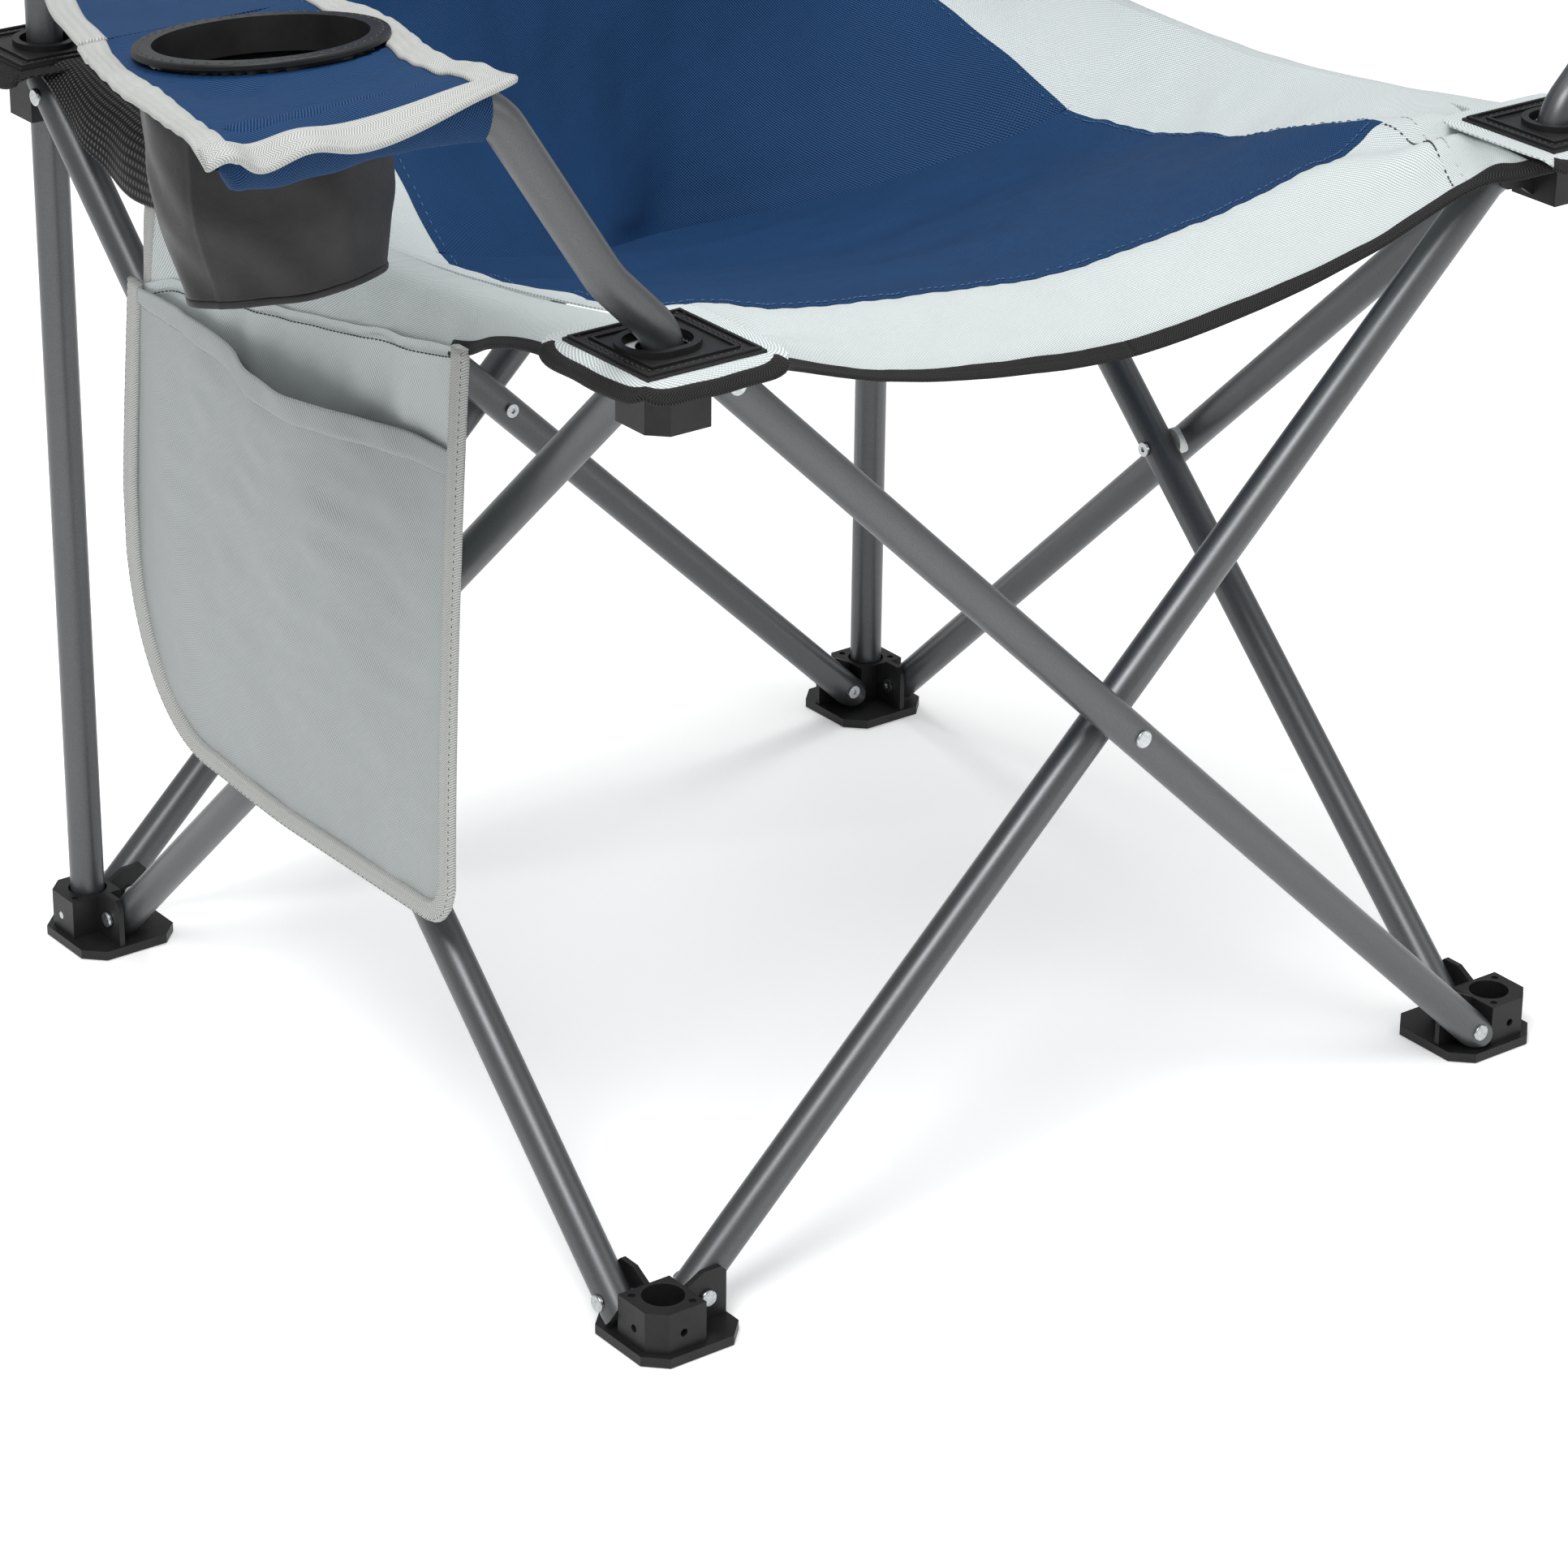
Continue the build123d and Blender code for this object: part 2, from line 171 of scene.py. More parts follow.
def twill(name, dark, light, soil, sheen):
    """Coarse polyester twill: diagonal ribs, broken up by the crossing thread. UVs are in metres."""
    made = Finish(name)
    uv = made.coordinate("UV")
    across, along = made.separate(uv)
    wobble = made.multiply(made.subtract(made.noise(uv, 90.0), 0.5), 1.4 * MM)
    slant = made.add(across, made.calculate("DIVIDE", along, TWILL_LEAN))
    rib = made.wave(made.add(slant, wobble), TWILL_PERIOD)
    crossing = made.subtract(along, made.calculate("DIVIDE", across, TWILL_LEAN))
    cross_rib = made.wave(crossing, TWILL_PERIOD * 0.9)
    weave = made.add(made.multiply(rib, 0.72), made.multiply(cross_rib, 0.28))
    yarn = made.subtract(made.noise(uv, 2600.0, 1.0), 0.5)
    tone = made.add(weave, made.multiply(yarn, 0.45))
    colour = made.ramp(tone, 0.2, 0.85, dark, light)
    shade = made.grey_ramp(made.noise(uv, 14.0, 4.0, 0.6), 0.25, 0.8, 1 - soil, 1)
    made.put("Base Color", made.mix(1.0, colour, shade, "MULTIPLY"))
    made.put("Roughness", made.subtract(0.82, made.multiply(tone, 0.14)))
    made.put("Sheen Weight", sheen)
    made.put("Sheen Roughness", 0.45)
    made.put("Specular IOR Level", 0.2)
    made.bump(tone, 0.2 * MM, 0.9)
    return made.material


def ribbed_tape(name, dark, light, period, depth):
    """Woven binding tape with herringbone ribs. U runs along it and V across it."""
    made = Finish(name)
    uv = made.coordinate("UV")
    along, across = made.separate(uv)
    chevron = made.calculate("PINGPONG", across, 2.4 * MM)
    rib = made.wave(made.add(along, chevron), period)
    yarn = made.subtract(made.noise(uv, 1900.0), 0.5)
    tone = made.add(rib, made.multiply(yarn, 0.5))
    made.put("Base Color", made.ramp(tone, 0.15, 0.9, dark, light))
    made.put("Roughness", 0.72)
    made.put("Sheen Weight", 0.03)
    made.put("Specular IOR Level", 0.18)
    made.bump(tone, depth, 0.9)
    return made.material


def open_weave():
    """Coarse black mesh of thick threads."""
    made = Finish("webbing")
    along, across = made.separate(made.coordinate("UV"))
    tone = made.multiply(made.wave(along, 2.4 * MM), made.wave(across, 2.4 * MM))
    made.put("Base Color", made.ramp(tone, 0.15, 0.9, (0.002, 0.002, 0.002), (0.11, 0.108, 0.105)))
    made.put("Roughness", 0.6)
    made.put("Specular IOR Level", 0.3)
    made.bump(tone, 0.7 * MM, 0.9)
    return made.material


def powder_coat():
    """Satin grey coat with fine speckle and a few lighter scuffs."""
    made = Finish("powder_coat")
    place = made.coordinate("Object")
    speckle = made.noise(place, 2600.0, 3.0, 0.7)
    cloudy = made.noise(place, 30.0, 3.0)
    scuff = made.noise(place, 210.0, 6.0, 0.75)
    base = made.ramp(speckle, 0.3, 0.75, (0.07, 0.073, 0.077), (0.13, 0.134, 0.14))
    worn = made.multiply(made.grey_ramp(scuff, 0.70, 0.76, 0, 1), 0.35)
    made.put("Base Color", made.mix(worn, base, (0.33, 0.335, 0.34)))
    made.put("Metallic", 0.7)
    made.put("Roughness", made.grey_ramp(cloudy, 0.2, 0.8, 0.33, 0.42))
    made.put("Coat Weight", 0.12)
    made.put("Coat Roughness", 0.35)
    made.bump(speckle, 0.05 * MM, 0.6)
    return made.material


def moulded_plastic():
    """Black plastic with a fine grain and pale scratches."""
    made = Finish("black_plastic")
    place = made.coordinate("Object")
    grain = made.noise(place, 1500.0, 4.0, 0.65)
    cloudy = made.noise(place, 60.0, 4.0, 0.6)
    scratch = made.noise(place, 420.0, 8.0, 0.8)
    base = made.ramp(cloudy, 0.3, 0.75, (0.009, 0.009, 0.00945), (0.0171, 0.0171, 0.018))
    worn = made.multiply(made.grey_ramp(scratch, 0.66, 0.74, 0, 1), 0.4)
    made.put("Base Color", made.mix(worn, base, (0.1, 0.1, 0.105)))
    made.put("Roughness", made.grey_ramp(grain, 0.2, 0.8, 0.34, 0.54))
    made.put("Specular IOR Level", 0.28)
    made.bump(grain, 0.06 * MM, 0.7)
    return made.material


def zinc():
    made = Finish("zinc_plating")
    cloudy = made.noise(made.coordinate("Object"), 700.0, 4.0, 0.6)
    made.put("Base Color", made.ramp(cloudy, 0.3, 0.8, (0.36, 0.38, 0.39), (0.62, 0.64, 0.65)))
    made.put("Metallic", 1.0)
    made.put("Roughness", made.grey_ramp(cloudy, 0.2, 0.8, 0.22, 0.38))
    made.bump(cloudy, 0.04 * MM, 0.5)
    return made.material


def nylon():
    made = Finish("white_nylon")
    cloudy = made.noise(made.coordinate("Object"), 400.0, 3.0)
    made.put("Base Color", made.ramp(cloudy, 0.3, 0.8, (0.62, 0.62, 0.6), (0.74, 0.74, 0.72)))
    made.put("Roughness", 0.5)
    made.put("Subsurface Weight", 0.1)
    made.bump(cloudy, 0.05 * MM, 0.5)
    return made.material


def pouch_cloth():
    """Thin coated black nylon with a soft sheen and a fine plain weave."""
    made = Finish("black_nylon")
    uv = made.coordinate("UV")
    across, along = made.separate(uv)
    weave = made.multiply(made.wave(across, 0.6 * MM), made.wave(along, 0.6 * MM))
    crease = made.noise(uv, 60.0, 5.0, 0.6)
    made.put("Base Color", made.ramp(crease, 0.3, 0.75, (0.008, 0.008, 0.009), (0.022, 0.022, 0.024)))
    made.put("Roughness", made.grey_ramp(crease, 0.2, 0.8, 0.42, 0.58))
    made.put("Sheen Weight", 0.04)
    made.put("Sheen Roughness", 0.35)
    made.put("Specular IOR Level", 0.35)
    under = made.bump(crease, 1.2 * MM, 0.35)
    made.bump(weave, 0.08 * MM, 0.7, under)
    return made.material


def sewing_thread(name, colour):
    """Twisted sewing thread."""
    made = Finish(name)
    twist = made.noise(made.coordinate("Object"), 3000.0, 1.0)
    dark = tuple(c * 0.6 for c in colour)
    made.put("Base Color", made.ramp(twist, 0.3, 0.7, dark, colour))
    made.put("Roughness", 0.6)
    made.bump(twist, 0.08 * MM, 0.8)
    return made.material


PALE = twill("pale_twill", (0.34, 0.385, 0.385), (0.66, 0.70, 0.70), soil=0.05, sheen=0.08)
GREY = twill("grey_twill", (0.25, 0.275, 0.275), (0.46, 0.485, 0.485), soil=0.07, sheen=0.08)
BLUE = twill("blue_twill", (0.0004, 0.0065, 0.029), (0.0085, 0.066, 0.19), soil=0.15, sheen=0.0)
BLACK_TAPE = ribbed_tape("black_tape", (0.002, 0.002, 0.002), (0.024, 0.0235, 0.023), 1.5 * MM, 0.3 * MM)
PALE_TAPE = ribbed_tape("pale_tape", (0.27, 0.275, 0.265), (0.53, 0.54, 0.525), 1.3 * MM, 0.25 * MM)
WEBBING = open_weave()
POUCH = pouch_cloth()
BLACK_THREAD = sewing_thread("black_thread", (0.03, 0.03, 0.03))
PALE_THREAD = sewing_thread("pale_thread", (0.62, 0.64, 0.63))
BLUE_THREAD = sewing_thread("blue_thread", (0.05, 0.13, 0.3))

CAD_FINISH = {"frame_paint": powder_coat(), "black_plastic": moulded_plastic(),
              "zinc_steel": zinc(), "white_nylon": nylon()}
for part in frame["record"]["subparts"]:
    finish = CAD_FINISH.get(part["material_slot"])
    if finish:
        mesh = frame["nodes"][part["node"]].data
        mesh.materials.clear()
        mesh.materials.append(finish)


# ---- Mesh helpers ----
def new_mesh(name, vertices, faces, uvs, material):
    """Smooth mesh object with one UV for each vertex."""
    mesh = bpy.data.meshes.new(name)
    mesh.from_pydata([tuple(v) for v in vertices], [], faces)
    layer = mesh.uv_layers.new(name="cloth")
    loops = np.empty(len(mesh.loops), int)
    mesh.loops.foreach_get("vertex_index", loops)
    layer.data.foreach_set("uv", np.asarray(uvs, np.float32)[loops].ravel())
    mesh.shade_smooth()
    mesh.materials.append(material)
    made = bpy.data.objects.new(name, mesh)
    bpy.context.scene.collection.objects.link(made)
    return made


def grid_normals(points, ring=False):
    """Unit normals of a grid of points, rows first."""
    ahead = np.gradient(points, axis=0)
    if ring:
        ahead[0] = ahead[-1] = points[1] - points[-2]
    beside = np.gradient(points, axis=1)
    normals = np.cross(beside, ahead)
    return normals / np.maximum(np.linalg.norm(normals, axis=2, keepdims=True), 1e-12)


def grid_uvs(points):
    """Flat coordinates of a grid, in metres: mean lengths across and along it."""
    across = np.linalg.norm(np.diff(points, axis=1), axis=2).mean(0)
    along = np.linalg.norm(np.diff(points, axis=0), axis=2).mean(1)
    u = np.concatenate([[0], np.cumsum(across)])
    v = np.concatenate([[0], np.cumsum(along)])
    return np.stack(np.meshgrid(u - u.mean(), v), axis=2)


def quads(rows, columns, first=0, flip=False):
    faces = []
    for i in range(rows - 1):
        for j in range(columns - 1):
            a = first + i * columns + j
            face = (a, a + 1, a + columns + 1, a + columns)
            faces.append(face[::-1] if flip else face)
    return faces


def sharpen(mesh, is_sharp):
    """Marks the edges between two vertices for which is_sharp holds."""
    flags = np.zeros(len(mesh.edges), bool)
    for k, edge in enumerate(mesh.edges):
        flags[k] = is_sharp(*edge.vertices)
    attribute = mesh.attributes.new("sharp_edge", "BOOLEAN", "EDGE")
    attribute.data.foreach_set("value", flags)


def cloth_sheet(name, points, material, thickness=CLOTH, keep=None, ring=False):
    """Closed sheet whose upper side is the grid of points. keep says which cells of the grid are cloth.
    On a ring the last row lies on the first, and the two are welded."""
    rows, columns = points.shape[:2]
    count = rows * columns
    lower = points - grid_normals(points, ring) * thickness
    vertices = np.concatenate([points.reshape(-1, 3), lower.reshape(-1, 3)])
    flat = grid_uvs(points).reshape(-1, 2)
    upper = quads(rows, columns)
    if keep is not None:
        upper = [face for face, kept in zip(upper, keep.ravel()) if kept]
    sides = {}
    for face in upper:
        for a, b in zip(face, face[1:] + face[:1]):
            if (b, a) in sides:
                del sides[(b, a)]
            else:
                sides[(a, b)] = True
    if ring:
        ends = set(range(columns)) | set(range(count - columns, count))
        sides = {pair: True for pair in sides if not (pair[0] in ends and pair[1] in ends)}
    faces = upper + [tuple(a + count for a in reversed(face)) for face in upper]
    faces += [(b, a, a + count, b + count) for a, b in sides]
    made = new_mesh(name, vertices, faces, np.concatenate([flat, flat]), material)
    rims = {frozenset(pair) for pair in sides}

    def on_rim(a, b):
        return frozenset((a % count, b % count)) in rims and (a < count) == (b < count)

    sharpen(made.data, on_rim)
    if ring or keep is not None:
        weld(made)
    return made


def spline(points, where):
    """Catmull-Rom value at each position, where whole numbers are the points themselves."""
    last = len(points) - 1
    where = np.clip(where, 0, last)
    start = np.minimum(where.astype(int), last - 1)
    share = (where - start).reshape((-1,) + (1,) * (points.ndim - 1))

    def at(k):
        inside = np.clip(k, 0, last)
        value = points[inside]
        value = np.where((k < 0).reshape(share.shape), 2 * points[0] - points[1], value)
        return np.where((k > last).reshape(share.shape), 2 * points[last] - points[last - 1], value)

    a, b, c, d = at(start - 1), at(start), at(start + 1), at(start + 2)
    slope, square, cube = c - a, 2 * a - 5 * b + 4 * c - d, 3 * b - a - 3 * c + d
    return 0.5 * (2 * b + slope * share + square * share**2 + cube * share**3)


def lengths_along(line):
    return np.concatenate([[0], np.cumsum(np.linalg.norm(np.diff(line, axis=0), axis=1))])


def resample(line, count):
    """The line again, with its points at even spacing."""
    places = lengths_along(line)
    even = np.linspace(0, places[-1], count)
    return np.stack([np.interp(even, places, line[:, k]) for k in range(line.shape[1])], axis=1)


def unit(vectors):
    return vectors / np.maximum(np.linalg.norm(vectors, axis=-1, keepdims=True), 1e-12)


def piping(name, line, normals, width, thickness, inset, material):
    """Band with a rounded section along a line. It lies square to the normals and stands out to one side."""
    side = unit(np.cross(unit(np.gradient(line, axis=0)), normals))
    profile = []
    turns = 14
    for k in range(turns):
        angle = 2 * math.pi * k / turns
        c, s = math.cos(angle), math.sin(angle)
        out = width / 2 * math.copysign(abs(c) ** 0.55, c)
        up = thickness / 2 * math.copysign(abs(s) ** 0.7, s)
        profile.append((out + width / 2 - inset, up))
    profile.append(profile[0])
    profile = np.array(profile)
    rings = line[:, None] + side[:, None] * profile[None, :, :1] + normals[:, None] * profile[None, :, 1:]
    uvs = np.stack(np.meshgrid(lengths_along(line), lengths_along(profile), indexing="ij"), axis=2)
    rows, columns = rings.shape[:2]
    faces = quads(rows, columns)
    faces.append(tuple(range(columns - 1)))
    faces.append(tuple((rows - 1) * columns + j for j in range(columns - 2, -1, -1)))
    return weld(new_mesh(name, rings.reshape(-1, 3), faces, uvs.reshape(-1, 2), material))


TAPE_OVERHANG = 1.5 * MM


def hugging_tape(name, grid, material, thickness=BINDING):
    """Binding folded over the edge of a cloth. The first column is the edge and the rows run along it."""
    outward = unit(grid[:, 0] - grid[:, 1])
    grid = np.concatenate([(grid[:, 0] + outward * TAPE_OVERHANG)[:, None], grid], axis=1)
    rows, columns = grid.shape[:2]
    middle = grid - grid_normals(grid) * CLOTH / 2
    fine = np.linspace(0, columns - 1, 2 * columns - 1)
    middle = spline(middle.transpose(1, 0, 2), fine).transpose(1, 0, 2)
    columns = len(fine)
    share = np.linspace(-1, 1, columns)
    swell = (thickness / 2 * np.sqrt(1 - share**6))[None, :, None]
    normals = grid_normals(middle)
    layers = [(middle + normals * swell).reshape(-1, 3), (middle - normals * swell).reshape(-1, 3)]
    lengths = lengths_along(middle[:, 0]), lengths_along(middle[0])
    uvs = np.stack(np.meshgrid(*lengths, indexing="ij"), axis=2).reshape(-1, 2)
    faces = quads(rows, columns) + quads(rows, columns, rows * columns, True)
    for first in (0, (rows - 1) * columns):
        for j in range(first, first + columns - 1):
            faces.append((j, j + 1, j + 1 + rows * columns, j + rows * columns))
    return weld(new_mesh(name, np.concatenate(layers), faces, np.concatenate([uvs, uvs]), material))


def weld(made):
    """Closes the seam where a ring of vertices meets itself."""
    work = bmesh.new()
    work.from_mesh(made.data)
    bmesh.ops.remove_doubles(work, verts=work.verts, dist=1e-7)
    bmesh.ops.recalc_face_normals(work, faces=work.faces)
    work.to_mesh(made.data)
    work.free()
    made.data.shade_smooth()
    return made


CLOSE_STITCH = (3.0 * MM, 0.42 * MM, 0.8)       # pitch, thread radius and the share of the pitch it fills


def stitches(name, line, normals, material, pitch=4.0 * MM, radius=0.32 * MM, fill=0.72):
    """A row of thread stitches lying on a line."""
    line, normals = np.asarray(line, float), np.asarray(normals, float)
    total = np.linalg.norm(np.diff(line, axis=0), axis=1).sum()
    count = max(2, int(total / pitch))
    both = resample(np.concatenate([line, normals], axis=1), 4 * count + 1)
    vertices, faces = [], []
    rings, turns = 5, 6
    for k in range(count):
        middle = both[4 * k + 2]
        centre, up = middle[:3], unit(middle[3:])
        along = unit(both[4 * k + 3, :3] - both[4 * k + 1, :3])
        side = np.cross(along, up)
        first = len(vertices)
        for i in range(rings):
            t = 2 * i / (rings - 1) - 1
            body = math.sqrt(max(0.0, 1 - t * t)) * 0.85 + 0.15
            place = centre + along * t * pitch * fill / 2 + up * radius * (0.9 - 1.1 * t * t)
            for j in range(turns):
                angle = 2 * math.pi * j / turns
                vertices.append(place + radius * body * (math.cos(angle) * side + math.sin(angle) * up))
        for i in range(rings - 1):
            for j in range(turns):
                a, b = first + i * turns + j, first + i * turns + (j + 1) % turns
                faces.append((a, a + turns, b + turns, b))
        faces.append(tuple(first + j for j in range(turns)))
        faces.append(tuple(first + (rings - 1) * turns + j for j in range(turns - 1, -1, -1)))
    return new_mesh(name, vertices, faces, np.zeros((len(vertices), 2)), material)


# ---- Sling surfaces ----
# Right half of each net in millimetres, row by row: the middle, two between, the seam, the side crest.
SEAM, EDGE = 3, 4                               # columns of a net, counted from its middle
CREST = HALF / MM - 3
SEAT_NET = [
    [(0, -262, 429), (80, -262, 436), (145, -262, 449), (200, -266, 468), (226, -296, 482)],
    [(0, -240, 441), (80, -240, 446), (148, -241, 456), (209, -240, 477), (225, -252, 486.6)],
    [(0, -197, 447), (82, -200, 455), (150, -198, 465), (221, -186, 477), (252, -197, 485)],
    [(0, -125, 438), (78, -125, 443), (140, -122, 450), (207, -118, 458), (CREST, -120, 476)],
    [(0, -55, 418), (76, -58, 425), (138, -62, 433), (201, -62, 443), (CREST, -55, 470)],
    [(0, 20, 400), (72, 8, 407), (135, -5, 418), (199, -15, 437), (CREST, -12, 470)],
    [(0, 100, 385), (60, 70, 396), (115, 38, 413), (192, 16, 437), (CREST, 30, 471)],
    [(0, 114, 382), (61, 84, 393), (117, 52, 410), (194, 28, 434), (CREST, 46, 470)],
]
CREASE_ROW = 6
SEAT_LAST_ROW = 6.6                             # the seat reaches under the back
BACK_NET = [
    SEAT_NET[CREASE_ROW],
    [(0, 108, 405), (60, 84, 412), (115, 62, 428), (187, 46, 453), (CREST, 80, 472)],
    [(0, 122, 438), (60, 108, 442), (115, 95, 452), (178, 88, 470), (CREST - 1, 130, 474)],
    [(0, 140, 485), (60, 134, 487), (112, 128, 490), (165, 135, 500), (251, 190, 485)],
    [(0, 166, 555), (65, 164, 556), (115, 165, 558), (160, 182, 565), (247, 238, 545)],
    [(0, 200, 650), (70, 199, 650), (120, 204, 650), (162, 214, 650), (248, 250, 640)],
    [(0, 232, 770), (72, 232, 770), (125, 236, 770), (170, 240, 770), (249, 252, 765)],
    [(0, 252, 915), (72, 252, 918), (130, 252, 921), (185, 252, 925), (249, 252, 929)],
]
# Right side flap of the seat in millimetres, from front to back: crest, fold, hem.
FLAP_NET = [
    [(248, -232, 486.8), (272, -232, 486.8), (291, -232, 480)],
    [(253, -205, 485.5), (274, -205, 484), (291, -205, 477)],
    [(256, -172, 481), (275, -172, 479), (290, -172, 468)],
    [(CREST, -136, 477), (276, -136, 473), (287, -136, 453)],
    [(CREST, -50, 470), (276, -50, 465), (285.5, -50, 438)],
    [(CREST, 30, 471), (276, 30, 464), (285.5, 30, 425)],
    [(CREST, 100, 472.5), (277, 100, 466), (286, 100, 413)],
    [(CREST - 1, 146, 476), (277, 146, 469), (286.5, 143, 404)],
    [(253, 190, 484), (276, 190, 476), (288, 188, 440)],
    [(251, 230, 486.8), (272, 230, 486.6), (290, 230, 476)],
]
FLAP_ROWS = len(FLAP_NET) - 1
POCKET_FRONT_ROW = 3                            # row of the flap where the side pocket starts
LEFT_LAST_ROW = 6.7                             # the left flap stops at the pocket; only webbing goes on


def full_net(half):
    """Both halves of a net, in metres."""
    right = np.array(half, float) * MM
    left = right[:, :0:-1] * [-1, 1, 1]
    return np.concatenate([left, right], axis=1)


def net_surface(net, columns, rows):
    """Points of a net at column and row positions, where whole numbers are its own points."""
    by_row = spline(net, np.asarray(rows, float))
    by_column = spline(by_row.transpose(1, 0, 2), np.asarray(columns, float))
    return by_column.transpose(1, 0, 2)


def steps(low, high, size):
    return np.linspace(low, high, max(2, round(abs(high - low) / size) + 1))


def wrinkles(u, v, heading, spread, length, seed, count=9):
    """Sum of plane waves, about 1 high, whose crests run near a heading in degrees from the u axis."""
    draw = random.Random(seed)
    total = np.zeros_like(u)
    for _ in range(count):
        angle = math.radians(heading + 90 + draw.uniform(-spread, spread))
        turns = 2 * math.pi / (length * draw.uniform(0.6, 1.6))
        shift = draw.uniform(0, 2 * math.pi)
        total += np.sin(turns * (u * math.cos(angle) + v * math.sin(angle)) + shift)
    return total / math.sqrt(count)


def corner_folds(x, y, corner, height, reach, folds, shift):
    """Tension folds that fan out from a corner of the cloth."""
    dx, dy = x - corner[0], y - corner[1]
    far = np.hypot(dx, dy)
    angle = np.arctan2(dy, dx)
    swell = np.exp(-(((far - 0.35 * reach) / (0.42 * reach)) ** 2))
    wave_shape = np.sin(folds * angle + shift + 1.5 * np.sin(2.3 * angle + shift))
    return height * swell * wave_shape


def fade(value, low, high):
    """Smooth step from 0 at low to 1 at high."""
    share = np.clip((value - low) / (high - low), 0, 1)
    return share * share * (3 - 2 * share)


SEAT = full_net(SEAT_NET)
BACK = full_net(BACK_NET)


def seat_surface(columns, rows):
    """Seat cloth with its folds; columns are counted from the middle."""
    points = net_surface(SEAT, np.asarray(columns) + EDGE, rows)
    x, y = points[..., 0], points[..., 1]
    column = np.abs(np.asarray(columns, float))[None, :] + 0 * x
    row = np.asarray(rows, float)[:, None] + 0 * x
    hold = (1 - fade(column, 3.3, 4.0)) * fade(row, -0.4, 0.7) * (1 - fade(row, 5.3, CREASE_ROW))
    lift = 1.9 * MM * wrinkles(x, y, 4, 14, 0.085, 11) * fade(row, 1.2, 2.4)
    lift += 0.55 * MM * wrinkles(x, y, 20, 30, 0.04, 12)
    lift += 0.14 * MM * wrinkles(x, y, 60, 60, 0.018, 13)
    for side in (LEFT, RIGHT):
        lift += corner_folds(x, y, (side * 0.262, -0.262), 3.6 * MM, 0.17, 9, 0.6 + side)
        lift += corner_folds(x, y, (side * 0.262, 0.20), 3.2 * MM, 0.20, 8, 2.1 * side)
    seam_side = np.exp(-(((column - SEAM) / 0.06) ** 2)) * fade(row, 1.6, 2.2)
    seam_front = np.exp(-(((row - 2) / 0.09) ** 2)) * (1 - fade(column, 3.0, 3.1))
    pucker = 0.5 * np.sin(2 * math.pi * y / 0.013) * seam_side
    pucker += 0.5 * np.sin(2 * math.pi * x / 0.014) * seam_front
    points[..., 2] += lift * hold + MM * (0.5 * pucker - 0.9 * np.maximum(seam_side, seam_front))
    return points


def back_surface(columns, rows):
    """Back cloth with its folds; columns are counted from the middle."""
    points = net_surface(BACK, np.asarray(columns) + EDGE, rows)
    x, z = points[..., 0], points[..., 2]
    column = np.abs(np.asarray(columns, float))[None, :] + 0 * x
    row = np.asarray(rows, float)[:, None] + 0 * x
    hold = (1 - fade(column, 3.4, 4.0)) * fade(row, 0.0, 0.8)
    lift = 1.8 * MM * wrinkles(x, z, 80, 25, 0.10, 21) + 0.6 * MM * wrinkles(x, z, 30, 45, 0.045, 22)
    lift += 0.14 * MM * wrinkles(x, z, 80, 60, 0.018, 23)
    for side in (LEFT, RIGHT):
        lift += corner_folds(x, z, (side * 0.262, 0.49), 3.4 * MM, 0.2, 9, 1.3 * side)
        lift += corner_folds(x, z, (side * 0.262, 0.90), 2.2 * MM, 0.2, 8, 0.4 + side)
    seam_side = np.exp(-(((column - SEAM) / 0.06) ** 2))
    pucker = 0.3 * np.sin(2 * math.pi * z / 0.013) * seam_side
    points[..., 1] -= lift * hold - MM * (0.9 * seam_side - pucker) * fade(row, 0.0, 0.5)
    return points


# ---- Keeping pieces: body and what they stand for ----
FOLD_SHARE = 0.25                               # width left of the frame when it is folded
TO_REAR = ((0, 1, 0), (0, HALF, 0), FOLD_SHARE)
TO_LEFT = ((1, 0, 0), (-HALF, 0, 0), FOLD_SHARE)


def keep_on(made, body, crumple=None, replaces=()):
    """Rides the piece on a body, gives it a mesh of its own when a crumple is given, and hides the frame
    parts it stands for.
    """
    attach(made, body)
    if crumple:
        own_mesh(made)
    if replaces:
        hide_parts(*replaces)
    return made


def declare_sheet(points):
    """The cut's flat size is the cloth's own size laid flat: its longest row, longest column and area."""
    across = np.linalg.norm(np.diff(points, axis=1), axis=2)
    along = np.linalg.norm(np.diff(points, axis=0), axis=2)
    width, length = across.sum(1).max(), along.sum(0).max()
    area = float(((across[1:] + across[:-1]) / 2 * (along[:, 1:] + along[:, :-1]) / 2).sum())
    area = min(max(area, 0.31 * width * length), width * length)


def raised(points, height):
    return points + grid_normals(points) * height


def seam_of(surface, columns, rows, height=0.3 * MM):
    """Line and normals along one column or one row of a surface, and a little above it."""
    single_row = np.ndim(rows) == 0
    near = 0.02
    if single_row:
        grid = surface(columns, [rows - near, rows, rows + near])
        normals = grid_normals(grid)[1]
        line = grid[1]
    else:
        grid = surface([columns - near, columns, columns + near], rows)
        normals = grid_normals(grid)[:, 1]
        line = grid[:, 1]
    return line + normals * height, normals


# ---- Seat ----
def half_columns(side, low, high, size):
    """Column positions from left to right on one side of the middle."""
    columns = steps(low, high, size)
    return columns if side == RIGHT else -columns[::-1]


